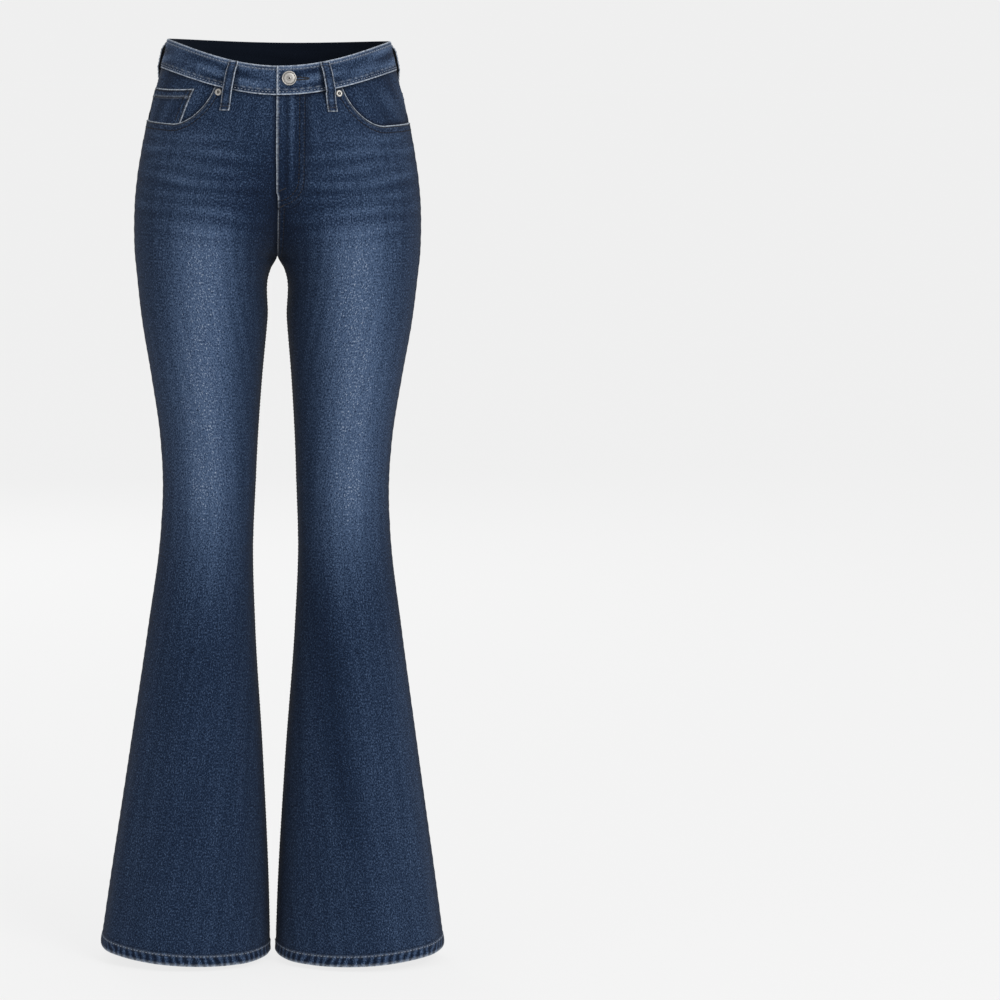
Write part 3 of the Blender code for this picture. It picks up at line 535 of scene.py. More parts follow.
fly_path = [(J_INSET, d) for d in np.arange(5.8, J_START, 0.12)]
fly_path += [
    (J_INSET * math.cos(turn), J_START + J_DEPTH * math.sin(turn)) for turn in np.linspace(0, math.pi / 2, 40)
]
mouth_path = list(zip(*mouth(np.linspace(0.0, 1.0, 160))))
for word, side in (("left", 1), ("right", -1)):
    lap = side == 1
    share, drop = front_grid(lap)
    base, along = on_form("front", share, drop)
    around = girth("front", drop)
    centre = np.where(share > 1, -(share - 1) * around, around - along)
    x = np.abs(base[..., 0]) / CM
    up = hem_drop(np.clip(share, 0, 1)) - drop
    to_mouth = np.full(share.shape, FAR)
    to_mouth[:80] = distance_to(along[:80], drop[:80], mouth_path)
    below_seam = np.where(drop < FIRST_LEVEL, drop - waist_seam("front", np.clip(share, 0, 1)), FAR)
    leg = ease(24.5, 27.5, drop)
    edge = ease(0.0, 0.14, to_mouth)
    hem_worn, hem_shade, hem_relief, wall = hem_marks(up)
    side_worn, side_shade, side_relief = side_seam(along, drop, 1.3, 1.0)
    relief = folds_over(share, drop, WHISKERS) * until(0.92, 1.0, share)
    relief += folds_over(share, drop, KNEE_FOLDS)
    relief += flare_relief(share, drop, FLARE_FOLDS, 0.02 * side) + side_relief + hem_relief
    relief += until(0.85, 1.25, to_mouth) * (0.55 + 0.12 * np.sin(2 * math.pi * along / 0.7)) * edge
    relief -= 0.5 * (1 - edge) + 0.45 * bell(below_seam, 0.0, 0.35)
    # The felled inseam is a raised strip 9 mm wide with uneven puckers between its two rows of stitches.
    relief += leg * until(0.75, 1.05, centre) * (0.45 + 0.25 * rope(drop, 0.9))
    relief -= leg * 0.25 * bell(centre, 0.85, 0.1)
    # Thighs and whiskers are pale from the wash. Painted shade darkens the colour towards the side seam and
    # the inseam and round the middle and the crotch.
    wash_and_shade = 0.29 + 0.06 * until(8.0, 26.0, drop) + 0.03 * ease(60.0, 90.0, drop)
    knee = ease(36.0, 54.0, drop)
    thigh = bell(x, 9.0 + 0.25 * side - 0.7 * knee, 4.5 - 0.8 * knee)
    wash_and_shade += 0.35 * thigh * ease(17.0, 25.0, drop) * until(50.0, 74.0, drop)
    wash_and_shade = wash_and_shade - 0.12 * bell(along, 0.0, 2.5)
    for start, end, low, high, depth, pale in WHISKERS:
        middle = start + (end - start) * ease(low, high, share) + 0.25 * np.sin(share * 9 + start)
        reach = ease(low - 0.05, low + 0.2, share) * until(high - 0.25, high + 0.05, share)
        patchy = 0.75 + 0.25 * np.sin(share * 14 + start * 3 + side)
        ridge = 0.95 * bell(drop, middle, 0.52) - 0.55 * bell(drop, middle + 0.95, 0.48)
        wash_and_shade += 0.75 * pale * reach * patchy * ridge
    wash_and_shade = wash_and_shade - 0.10 * until(0.0, 3.5, along) - 0.16 * until(0.0, 4.0, centre) * leg
    wash_and_shade = wash_and_shade - 0.18 * bell(x, 0.0, 4.0) * bell(drop, 19.0, 7.0)
    wash_and_shade += 0.09 * bell(x, 10.5, 4.0) * bell(drop, 15.5, 5.0)
    worn = 1.3 * until(0.12, 0.28, to_mouth) + hem_worn + side_worn
    worn += 0.35 * bell(centre, 0.95, 0.10) * leg * rope(drop, 0.9)
    # Painted shade: in the side seam's groove, on and above the hem, under the band's seam and beside the
    # stitch rows round the pocket mouth.
    painted_shade = side_shade + hem_shade + 0.85 * bell(below_seam, 0.0, 0.30)
    painted_shade += 0.50 * bell(to_mouth, 0.52, 0.28) + 0.3 * bell(to_mouth, 1.15, 0.12)
    seam = np.minimum(to_mouth, np.where(drop > (19.6 if lap else 26.5), centre, 9.0))
    lift, edge_at = 0.0, 0.0
    if lap:
        # The fly stands half a millimetre over the panel, and the zip's teeth press a ridge through it.
        to_fly = np.full(share.shape, FAR)
        to_fly[:90] = distance_to(centre[:90], drop[:90], fly_path)
        inside = (centre < J_INSET) & (drop < 19.4)
        over = until(FLY_END + 0.5, FLY_END + 2.6, drop)
        teeth = until(15.0, 18.5, drop)
        strip = until(0.75, 0.95, centre) * ease(18.0, 19.5, drop) * (1 - leg)
        lift, edge_at = (PANEL + LAP_GAP) * over * ease(-0.2, 1.2, FLY_WIDTH + 0.4 - centre), LAP
        relief += 0.5 * ease(0.0, 0.3, np.where(inside, to_fly, 0.0)) * (drop < 19.4) + 0.5 * strip
        relief -= 0.3 * bell(to_fly, 0.0, 0.12) + 0.25 * bell(to_fly, 0.6, 0.12)
        relief += teeth * (0.9 * bell(centre, 1.55, 0.30) - 0.6 * bell(centre, 0.95, 0.22))
        relief += 0.22 * np.sin(2 * math.pi * drop / 1.7) * bell(centre, 0.5, 0.6) * teeth
        past = np.where(inside, to_fly, -to_fly) + 0.2
        seam = np.where((past > -0.15) & (drop < 19.6) & (centre < 3.6), np.minimum(past, seam), seam)
        lapped = LAP * until(FLY_END, FLY_END + 0.6, drop)
        reach = (1 - 0.4 * ease(18.0, 20.0, drop)) * until(25.0, 26.5, drop)
        worn += 0.85 * reach * bell(centre, -lapped, 0.16)
        wash_and_shade = wash_and_shade - 0.07 * teeth * until(2.4, 3.4, centre)
        wash_and_shade += teeth * (0.20 * bell(centre, 1.55, 0.28) + 0.10 * bell(centre, 0.45, 0.2))
        wash_and_shade += 0.10 * bell(to_fly, 0.33, 0.5) * ease(13.0, 15.0, drop) * until(19.6, 20.4, drop)
        # Painted shade beside the ridge of the zip's teeth and along the fly's stitching.
        painted_shade += teeth * (0.45 * bell(centre, 1.02, 0.17) + 0.3 * bell(centre, 2.05, 0.2))
        painted_shade += 0.60 * bell(to_fly, 0.3, 0.38) * (drop < 20.5) + 0.2 * strip
        # A long painted shadow of a fold runs across this side's flare, with a little painted light beyond
        # it.
        past_fold = x - 5.6 - 0.12 * (drop - 68)
        wash_and_shade = wash_and_shade - 0.10 * bell(past_fold, 0.0, 1.6) * ease(58.0, 68.0, drop) * until(84.0, 100.0, drop)
        wash_and_shade += 0.05 * ease(1.5, 4.0, past_fold) * ease(66.0, 76.0, drop)
    else:
        # Painted shadow that the lapping fly casts on this panel beside the centre.
        painted_shade += 0.9 * until(0.2, 0.9, centre) * (1 - leg)
    relief -= 0.55 * bell(np.maximum(centre + edge_at, 0.0), 0.0, 0.12) * (1 - leg)
    node = f"front_{word}"
    piece = lay_cloth(node, "front", side, share, drop, lift, wall, wash_and_shade, worn, painted_shade, relief, seam, up)
    show(piece, node)


# The back legs: two panels of the same denim, felled to the yoke above and to each other down the back rise.
# The left one lies on top there, as a strip 11 mm wide with two rows of stitches.

YOKE_SIDE, YOKE_CENTRE = 6.0, 7.8
BACK_LEVEL = 13.0     # the drop of the first level row
SEAT_FOLDS = (        # drop at the side, drop at the centre, start, end, depth in mm
    (25.2, 27.4, 0.20, 0.90, 0.9),
    (28.6, 29.4, 0.42, 0.98, 0.7),
    (22.0, 23.4, 0.66, 1.00, 0.5),
    (50.2, 51.6, 0.05, 0.55, 0.9),
    (52.6, 54.4, 0.35, 0.97, 1.1),
    (55.6, 56.4, 0.02, 0.62, 0.8),
    (58.6, 60.8, 0.30, 0.92, 0.7),
)
BACK_FLARE_FOLDS = (  # as for the front
    (0.24, 0.14, 1.4, 0.060),
    (0.50, 0.50, 1.0, 0.060),
    (0.74, 0.84, 1.3, 0.055),
)


def yoke_seam(share):
    return YOKE_SIDE + (YOKE_CENTRE - YOKE_SIDE) * np.asarray(share) ** 2.5


def back_columns(drop):
    around = float(girth("back", drop))
    start = share_at("back", EDGE_COLUMNS, drop)
    end = share_at("back", around - np.array((1.15, 1.0, 0.85, 0.5, 0.2, 0.08, 0.0)), drop)
    return np.concatenate([start, np.linspace(start[-1], end[0], 64)[1:-1], end])


def back_rise(side, centre, drop):
    """The rubbed wear, the painted shade and the relief in mm beside the back rise, where the left side is
    felled over the right.
    """
    if side < 0:
        return 0.0, 0.7 * bell(centre, 0.0, 0.14), 0.0
    marks = rope(drop + 0.8 * centre, 0.8)
    worn = 0.85 * bell(centre, 0.0, 0.10) + 0.4 * bell(centre, 1.02, 0.08) * marks
    painted_shade = 0.5 * bell(centre, 1.2, 0.12) + 0.5 * bell(centre, 0.5, 0.35) * (1 - marks)
    return worn, painted_shade, until(0.95, 1.15, centre) * (0.6 + 0.3 * marks)


for word, side in (("left", 1), ("right", -1)):
    level, first = back_columns(BACK_LEVEL), back_columns(7.0)
    parts = steps(0.0, 0.012, 0.03, 0.06, (1.0, 17))[:-1, None]
    top = yoke_seam(first) + 0.015
    shares, drops = [first + (level - first) * parts], [top + (BACK_LEVEL - top) * parts]
    share, drop = down_leg(shares, drops, back_columns, back_columns(108.0),
                           (BACK_LEVEL, 0), (30.0, 50), (106.6, 170))
    base, along = on_form("back", share, drop)
    centre = girth("back", drop) - along
    x = np.abs(base[..., 0]) / CM
    up = hem_drop(share) - drop
    leg = ease(24.5, 27.5, drop)
    under_yoke = np.where(drop < 14.0, drop - yoke_seam(share), FAR)
    felled = until(0.9, 1.15, under_yoke)
    yoke_marks = rope(along, 0.85)
    hem_worn, hem_shade, hem_relief, wall = hem_marks(up)
    side_worn, side_shade, side_relief = side_seam(along, drop, 1.4, 1.3)
    rise_worn, rise_shade, rise_relief = (value * (1 - leg) for value in back_rise(side, centre, drop))
    seat = folds_over(share, drop, SEAT_FOLDS)
    relief = seat + flare_relief(share, drop, BACK_FLARE_FOLDS, -0.02 * side) + side_relief + hem_relief
    relief += felled * (0.55 + 0.25 * yoke_marks) - 0.5 * until(0.0, 0.12, under_yoke)
    relief += rise_relief - 0.5 * bell(centre, 0.0, 0.14) * leg - 0.5 * bell(centre, 0.0, 0.10) * (1 - leg)
    wash_and_shade = 0.33 + 0.20 * bell(x, 8.6, 6.0) * bell(drop, 17.5, 8.0)
    wash_and_shade += 0.10 * bell(x, 8.4, 4.5) * bell(drop, 34.0, 12.0)
    # Painted shade darkens the colour towards the side seam and the inseam.
    wash_and_shade = wash_and_shade - 0.08 * until(0.0, 3.5, along) - 0.10 * until(0.0, 3.0, centre) * leg + 0.045 * seat
    wash_and_shade += 0.10 * until(0.95, 1.15, under_yoke) * (yoke_marks - 0.4)
    worn = hem_worn + side_worn + rise_worn
    worn += 0.8 * until(0.04, 0.14, under_yoke) + 0.5 * bell(under_yoke, 1.05, 0.09) * yoke_marks
    # Painted shade: in the seams' grooves, on and above the hem, beside the back rise and in the dips under
    # the yoke's seam.
    painted_shade = side_shade + hem_shade + rise_shade
    painted_shade += 0.45 * bell(under_yoke, 0.55, 0.3) * (1 - yoke_marks) + 0.5 * bell(under_yoke, 1.2, 0.12)
    seam = under_yoke
    if side == 1:
        seam = np.minimum(seam, np.where(drop < 25.4, centre, 9.0))
        worn += (1 - leg) * 0.4 * bell(centre, 0.5, 0.25) * (rope(drop + 0.8 * centre, 0.8) > 0.7)
    node = f"back_{word}"
    piece = lay_cloth(node, "back", side, share, drop, 0.0, wall, wash_and_shade, worn, painted_shade, relief, seam, up)
    show(piece, node)


# The yokes: the two shaped pieces under the back of the band, felled over the legs' top edges.

for word, side in (("left", 1), ("right", -1)):
    share = back_columns(6.5)[None] + np.zeros((26, 1))
    part = steps(0.0, 0.04, 0.1, (0.9, 19), 0.94, 0.97, 0.985, 1.0)[:, None]
    top, foot = waist_seam("back", share) - TUCK, yoke_seam(share) - 0.015
    drop = top + (foot - top) * part
    base, along = on_form("back", share, drop)
    centre = girth("back", drop) - along
    above, below = foot - drop, drop - top - TUCK
    worn, rise_shade, rise_relief = back_rise(side, centre, drop)
    ripple = np.sin(2 * math.pi * along / 1.9 + 2 * drop)
    relief = rise_relief + 0.15 * ripple - 0.5 * bell(above, 0.0, 0.14) - 0.45 * bell(below, 0.0, 0.3)
    relief -= 0.8 * bell(along, 0.0, 0.13) + 0.5 * bell(centre, 0.0, 0.10)
    # Painted shade darkens the colour towards the side seam.
    wash_and_shade = 0.38 + 0.10 * bell(np.abs(base[..., 0]) / CM, 7.0, 5.0) - 0.08 * until(0.0, 2.5, along)
    wash_and_shade += 0.08 * ripple * until(0.3, 1.2, above)
    # Painted shade in the side seam's groove, beside the back rise, above the yoke's seam and under the band.
    painted_shade = rise_shade + 0.75 * bell(along, 0.0, 0.10)
    painted_shade += 0.65 * bell(above, 0.0, 0.16) + 0.5 * bell(below, 0.0, 0.25)
    piece = lay_cloth(f"yoke_{word}", "back", side, share, drop, 0.0, PANEL, wash_and_shade, worn, painted_shade, relief,
                      centre if side == 1 else 9.0)
    show(piece, f"yoke_{word}")


# The pocket facings: hip pieces of the same denim set behind the scooped mouths and sewn in at the waist and
# side seams, and the coin pocket, a small hemmed patch sewn onto the wearer's right one.

mouth_x, mouth_y = mouth(np.linspace(0.0, 1.0, 200))


def mouth_clearance(along, drop):
    """Distance in cm inside the mouth's curve, negative where the front leg covers the facing."""
    edge = np.where(along < mouth_x[-1], np.interp(along, mouth_x, mouth_y), 0.0)
    away = distance_to(along, drop, list(zip(mouth_x[::3], mouth_y[::3])))
    return np.where(drop < edge, away, -away)


def facing_depth(along, drop):
    """How far the facing lies behind the skin of the form, in metres."""
    return (PANEL + LAP_GAP) * until(0.3, 2.4, mouth_clearance(along, drop))


for word, side in (("left", 1), ("right", -1)):
    share = np.linspace(0.0, float(share_at("front", 13.0, 7.0)), 60)[None] + np.zeros((50, 1))
    share[:, 1] = 0.35 * share[:, 2]
    top = waist_seam("front", share) - TUCK
    drop = top + (11.2 - top) * np.linspace(0.0, 1.0, 50)[:, None]
    along = on_form("front", share, drop)[1]
    clear = mouth_clearance(along, drop)
    below = drop - top - TUCK
    relief = 0.2 * np.sin(2 * math.pi * (along + drop) / 3.1) - 0.4 * bell(below, 0.0, 0.3)
    relief = (relief - 0.6 * bell(along, 0.0, 0.13)) * ease(-0.2, 0.2, clear)
    wash_and_shade = 0.27 + (0.125 - 0.035 * side) * bell(clear, 2.6, 1.5) + 0.05 * np.sin(along * 1.3 + drop)
    # Painted shade: the colour darkens towards the side seam, and most where the front's mouth edge overhangs
    # the facing, under the band and in the side seam.
    wash_and_shade = wash_and_shade - 0.10 * until(0.0, 1.2, along)
    painted_shade = 0.95 * until(0.05, 0.55, clear) + 0.8 * bell(below, 0.0, 0.28) + 0.6 * bell(along, 0.0, 0.12)
    piece = lay_cloth(f"pocket_facing_{word}", "front", side, share, drop, -facing_depth(along, drop), PANEL,
                      wash_and_shade, 0.3 * bell(along, 0.2, 0.1), painted_shade, relief)
    show(piece, f"pocket_facing_{word}")

COIN_TOP, COIN_FOOT, COIN_OUTER, COIN_INNER, COIN_TAPER = 5.75, 9.7, 1.6, 9.3, -0.6
part = steps(0.0, 0.015, 0.04, (0.96, 33), 0.985, 1.0)
rows = steps(0.0, 0.02, 0.05, (1.0, 23))[:, None]
inner = COIN_INNER + COIN_TAPER * rows
along = COIN_OUTER + (inner - COIN_OUTER) * part
to_side, to_top = np.minimum(along - COIN_OUTER, inner - along), (COIN_FOOT - COIN_TOP) * rows
drop = COIN_TOP + 0.12 * np.sin(math.pi * part) + to_top
share = np.array([share_at("front", a, float(d[0])) for a, d in zip(along, drop)])
relief = until(0.95, 1.15, to_top) * 0.45 - 0.5 * bell(to_side, 0.0, 0.07) - 0.5 * bell(to_top, 0.0, 0.06)
relief += 0.12 * np.sin(2 * math.pi * along / 0.9) * until(0.9, 1.3, to_top)
wash_and_shade = 0.34 + 0.05 * np.sin(along * 2 + drop)
worn = 1.0 * until(0.07, 0.2, to_top) + 0.7 * bell(to_top, 0.95, 0.1) + 0.9 * until(0.05, 0.16, to_side)
# Painted shade under the pocket's hem and beside its edges.
painted_shade = 0.55 * bell(to_top, 1.25, 0.15) + 0.35 * bell(to_top, 0.5, 0.3) + 0.4 * bell(to_side, 0.35, 0.12)
under_front = (3 * ease(0.0, 1.2, mouth_clearance(along, drop)) - 0.15) * MM
lift = np.minimum(SEAM_GAP + PATCH - facing_depth(along, drop), under_front)
piece = lay_cloth("coin_pocket", "front", -1, share, drop, lift, PATCH * 0.9, wash_and_shade, worn, painted_shade, relief,
                  np.minimum(to_side, 0.85 * to_top))
show(piece, "coin_pocket")


# The back pockets: two pointed patches of the same denim, hemmed at the top and topstitched round onto the
# seat, each 14 cm across the hem.

POCKET_TOP, POCKET_CORNER, POCKET_TIP, POCKET_WIDE = 9.7, 20.4, 22.7, 13.2
POCKET_LEVELS = (7.0, 9.7, 20.4, 27.0)
POCKET_EDGES = {"inner": (3.2, 3.5, 6.3, 5.5), "outer": (17.0, 17.6, 18.8, 21.0)}   # cm from the centre seam


def on_pocket(across, up):
    """Share and drop of points on a pocket: across runs 0 to 1 from its outer edge to its inner one, and up
    from 0 at the hem to 1 at the corners and on to the tip."""
    across, up = np.broadcast_arrays(np.asarray(across, float), np.asarray(up, float))
    level = POCKET_TOP + (POCKET_CORNER - POCKET_TOP) * up
    drop = level + (POCKET_TIP - POCKET_CORNER) * (1 - np.abs(2 * across - 1)) * np.clip(up, 0, 1)
    outer, inner = (girth("back", drop) - np.interp(level, POCKET_LEVELS, POCKET_EDGES[word])
                    for word in ("outer", "inner"))
    along = outer + (inner - outer) * across
    share = [share_at("back", a, d) for a, d in zip(along.ravel(), drop.ravel())]
    return np.reshape(share, drop.shape), drop


part = steps(0.0, 0.005, 0.012, 0.025, (0.975, 52), 0.988, 0.995, 1.0)
rows = steps(0.0, 0.006, 0.014, (0.16, 11), (0.97, 31), 0.98, 0.988, 0.994, 1.0)[:, None]
for word, side in (("left", 1), ("right", -1)):
    share, drop = on_pocket(part, rows)
    along = on_form("back", share, drop)[1]
    to_foot = (1 - rows) * (POCKET_CORNER - POCKET_TOP) * 0.96
    to_edge = np.minimum(np.minimum(part, 1 - part) * POCKET_WIDE, to_foot)
    to_top = rows * 11.8
    marks = rope(drop + along, 0.85)
    hem_part = until(0.95, 1.15, to_top)
    ripple = np.sin(along * 0.9 + drop * 0.35)
    relief = hem_part * (0.5 + 0.12 * rope(along, 0.9)) + until(0.5, 0.9, to_edge) * (0.18 + 0.22 * marks)
    relief -= 0.6 * bell(to_edge, 0.0, 0.08) + 0.5 * bell(to_top, 0.0, 0.08)
    relief += 0.35 * ripple * ease(1.0, 3.0, to_edge)
    wash_and_shade = 0.42 + 0.10 * bell(to_edge, 5.0, 3.0) + 0.06 * ripple
    wash_and_shade += 0.16 * until(0.6, 1.1, to_edge) * (marks - 0.45) + 0.08 * hem_part
    worn = 1.1 * until(0.07, 0.18, to_edge) + 1.1 * until(0.07, 0.18, to_top)
    worn += 0.5 * bell(to_top, 1.0, 0.08) * rope(along, 0.9)
    # Painted shade in the dips beside the edge stitching and under the hem.
    painted_shade = 0.45 * bell(to_edge, 0.45, 0.28) * (1 - 0.6 * marks) + 0.5 * bell(to_top, 1.2, 0.12)
    node = f"back_pocket_{word}"
    piece = lay_cloth(node, "back", side, share, drop, SEAM_GAP + PATCH, PATCH, wash_and_shade, worn, painted_shade, relief,
                      np.minimum(to_edge, 0.85 * to_top))
    show(piece, node)


# The waistband: one doubled strip of the same denim, 34 mm deep, cut to a curve, folded at the top and felled
# over the legs' top edges. Its wearer's left end laps over the right one and holds the buttonhole.

LOOP_STATIONS = (0.285, 1.125, 2.0, 2.875, 3.715)


def belt_place(station):
    """face, share and side of a station round the band: 0 is at the front centre, 1 at the wearer's left side
    seam, 2 at the back centre and 4 at the front centre again."""
    if 1 < station < 3:
        return "back", 1 - abs(station - 2), 1 if station <= 2 else -1
    share = 1 - station if station <= 1 else station - 3
    return "front", share, 1 if station <= 1 else -1


def band_top(station):
    """Drop in cm of the band's top edge."""
    face, share, _ = belt_place(station)
    return float(waist_top(face, min(share, 2 - share)))


def band_lift(station):
    over = until(0.3, 0.75, station)
    return (BAND_WALL - PANEL) / 2 + (BAND_WALL + LAP_GAP) * over


def facing_out(face, share, drop):
    """The form's points in metres and its outward directions there, from four points close by."""
    spots = [on_form(face, share + move, drop + fall)[0]
             for move, fall in ((0, 0), (-0.01, 0), (0.01, 0), (0, -0.1), (0, 0.1))]
    out = np.cross(spots[2] - spots[1], spots[4] - spots[3]) * (-1 if face == "back" else 1)
    return spots[0], out / np.linalg.norm(out, axis=-1, keepdims=True)


def on_band(station, drop, lift):
    """Points in metres over the form at one station, for arrays of drop and lift, and outward directions."""
    face, share, side = belt_place(station)
    points, out = facing_out(face, share, np.asarray(drop, float))
    return (points + out * np.asarray(lift, float)[..., None]) * (side, 1, 1), out * (side, 1, 1)


band_girth = {face: float(girth(face, BAND)) for face in ("front", "back")}
front_girth = band_girth["front"]
start = -LAP / front_girth
stations = np.concatenate([
    start + np.array((0.0, 0.06, 0.14, 0.26)) / front_girth,
    np.linspace(start + 0.26 / front_girth, 1.0, 90)[1:], np.linspace(1.0, 3.0, 170)[1:],
    np.linspace(3.0, 4 + 3.4 / front_girth, 105)[1:],
])
part = steps(0.0, 0.01, 0.025, 0.05, (0.95, 21), 0.97, 0.985, 1.0)[:, None]
above = (BAND - 0.02) * part
below = BAND - 0.02 - above
to_end = (stations - start) * front_girth
run = np.cumsum([hop * band_girth[belt_place(station)[0]]
                 for hop, station in zip(np.diff(stations, prepend=start), stations)])
swell, ripple = np.sin(13 * part + 1.4 * np.sin(run * 0.31)), np.sin(run * 0.9 + 7 * part)
relief = (0.20 * swell + 0.12 * ripple) * np.sin(math.pi * part)
relief += 0.35 * until(0.75, 0.95, below) * (0.8 + 0.4 * rope(run, 0.9))
relief -= 0.7 * bell(above, 0.0, 0.10) + 0.5 * bell(below, 0.0, 0.10) + 0.6 * bell(to_end, 0.0, 0.10)
height = band_lift(stations) + relief * MM
wall = BAND_WALL - (0.7 * bell(above, 0.0, 0.10) + 0.3) * MM
drop = above + [band_top(station) for station in stations]
outer, inner = np.zeros((2, *drop.shape, 3))
for k, station in enumerate(stations):
    outer[:, k], out = on_band(station, drop[:, k], height[:, k])
    inner[:, k] = outer[:, k] - out * wall
wash_and_shade = 0.44 + 0.17 * swell * (0.6 + 0.4 * np.sin(run * 0.47)) + 0.05 * ripple
wash_and_shade += 0.06 * until(0.2, 0.6, above) * rope(run, 1.2)
worn = 0.9 * until(0.06, 0.20, above) + 0.85 * until(0.06, 0.18, below) + 1.1 * until(0.08, 0.24, to_end)
worn += 0.35 * bell(below, 0.62, 0.07) * rope(run, 0.9) + 0.25 * bell(above, 0.45, 0.06)
# Painted shade in the dips along the band's stitch rows and beside its lapped end.
painted_shade = 0.45 * bell(below, 0.35, 0.12) + 0.40 * bell(above, 0.42, 0.10) + 0.3 * bell(to_end, 0.35, 0.1)
# Painted shadows of the belt loops on the band, under and beside each.
for station in LOOP_STATIONS:
    painted_shade += 0.75 * until(0.5, 0.95, np.abs(stations - station) * front_girth) * ease(0.3, 0.5, above)
grain = np.stack([run + 0 * drop, -drop], axis=-1) * CM
show(close_wall("waistband", outer, inner, grain, wash_and_shade, worn, np.clip(painted_shade, 0, 1), False), "waistband")


# The belt loops: five folded strips of the same denim, 11.5 mm wide, tacked over the band at the top and to
# the legs or the yokes at the foot, standing off the band so that a belt passes behind.

LOOPS = (             # name, how far the foot is set off from the top in stations, length in cm
    ("front_left", 0.025, 5.8), ("side_left", 0.015, 5.6), ("back", 0.0, 5.6), ("side_right", -0.015, 5.6),
    ("front_right", -0.025, 5.8),
)
LOOP_HALF, LOOP_INSET = 1.15 / 2, 0.1
STAND_AT = (0.0, 0.07, 0.16, 0.24, 0.45, 0.62, 0.78, 0.88, 1.0)
STAND = (0.0, 0.0, 0.75, 1.0, 1.0, 0.95, 0.45, 0.0, 0.0)
rows = steps(0.0, 0.008, 0.02, (0.98, 63), 0.992, 1.0)
cols = np.array((-1.0, -0.97, -0.9, -0.78, -0.62, -0.48, -0.2, 0.2, 0.48, 0.62, 0.78, 0.9, 0.97, 1.0))
wide = np.abs(cols)
rims = bell(rows, 0.0, 0.006) + bell(1 - rows, 0.0, 0.006)
stand = np.mean([
    np.interp(np.clip(rows + shift, 0, 1), STAND_AT, STAND) for shift in (-0.03, -0.015, 0, 0.015, 0.03)
], axis=0)
fold = 0.5 * MM * (1 - ease(0.10, 0.13, rows) + ease(0.86, 0.89, rows))
loop_faces = {}
for (word, shift, length), top in zip(LOOPS, LOOP_STATIONS):
    node = f"belt_loop_{word}"
    reach = length * rows[:, None]
    outer, inner = np.zeros((2, len(rows), len(cols), 3))
    for k, t in enumerate(rows):
        station = top + shift * t
        past_band = float(ease(BAND + 0.1, BAND + 0.35, length * t))
        seat = band_lift(station) * (1 - past_band) + 0.2 * MM * past_band
        at, out = on_band(station, band_top(station) + LOOP_INSET + length * t, 0.0)
        sideways = np.cross(out, (0.0, 0.0, 1.0))
        sideways = sideways / np.linalg.norm(sideways)
        height = seat + LAP_GAP + LOOP_WALL + stand[k] * BELT_GAP + fold[k]
        relief = 0.35 * bell(wide, 0.80, 0.14) - 0.55 * bell(wide, 1.0, 0.05) - 0.4 * rims[k]
        relief += 0.12 * math.sin(length * t * 7.0) * cols
        line = at + sideways * (cols[:, None] * LOOP_HALF * CM)
        outer[k] = line + out * (height + relief * MM)[:, None]
        inner[k] = line + out * (height - LOOP_WALL - fold[k] * 0.8 + 0.3 * MM * (wide > 0.99))[:, None]
    wash_and_shade = 0.42 + 0.06 * np.sin(reach * 3.0) + 0.10 * bell(wide, 0.8, 0.1)
    worn = 1.1 * bell(wide, 1.0, 0.12) + 0.5 * bell(wide, 0.86, 0.06) * rope(reach, 0.7)
    worn += 0.8 * until(0.04, 0.14, reach) + 0.9 * until(0.04, 0.14, length - reach)
    # Painted shade in the dips inside the two rows of stitches and above the tack at the foot.
    painted_shade = 0.95 * bell(wide, 0.62, 0.17) + 0.8 * bell(length - reach, 0.75, 0.12)
    grain = np.stack(np.broadcast_arrays(cols * LOOP_HALF * CM + top, -reach * CM), axis=-1)
    show(close_wall(node, outer, inner, grain, wash_and_shade, worn, painted_shade, False), node)
    loop_faces[node] = outer


# The metal: a nickel-plated brass tack button 17 mm across, pressed through the lapped end of the band, and a
# burr rivet in the top inner corner of each pocket mouth. Their hollows have darkened with age.

nickel, tree, shader = new_material("aged_nickel_plate", Metallic=0.85, Roughness=0.42)
hollow = add(tree, "ShaderNodeAttribute", attribute_name="hollow").outputs["Fac"]
place = add(tree, "ShaderNodeTexCoord").outputs["Object"]
cloud = add(tree, "ShaderNodeTexNoise", {"Vector": place, "Scale": 420.0, "Detail": 3.0})
stain = add(tree, "ShaderNodeMath", {0: cloud, 1: 0.30, 2: hollow}, operation="MULTIPLY_ADD", use_clamp=True)
tone = add(tree, "ShaderNodeMix", {0: stain, 6: linear("#c2bfba"), 7: linear("#3d3a37")}, data_type="RGBA")
tree.links.new(tone.outputs[2], shader.inputs["Base Color"])
brushed = add(tree, "ShaderNodeBump", {"Height": cloud, "Strength": 0.15, "Distance": 0.0002})
tree.links.new(brushed.outputs[0], shader.inputs["Normal"])


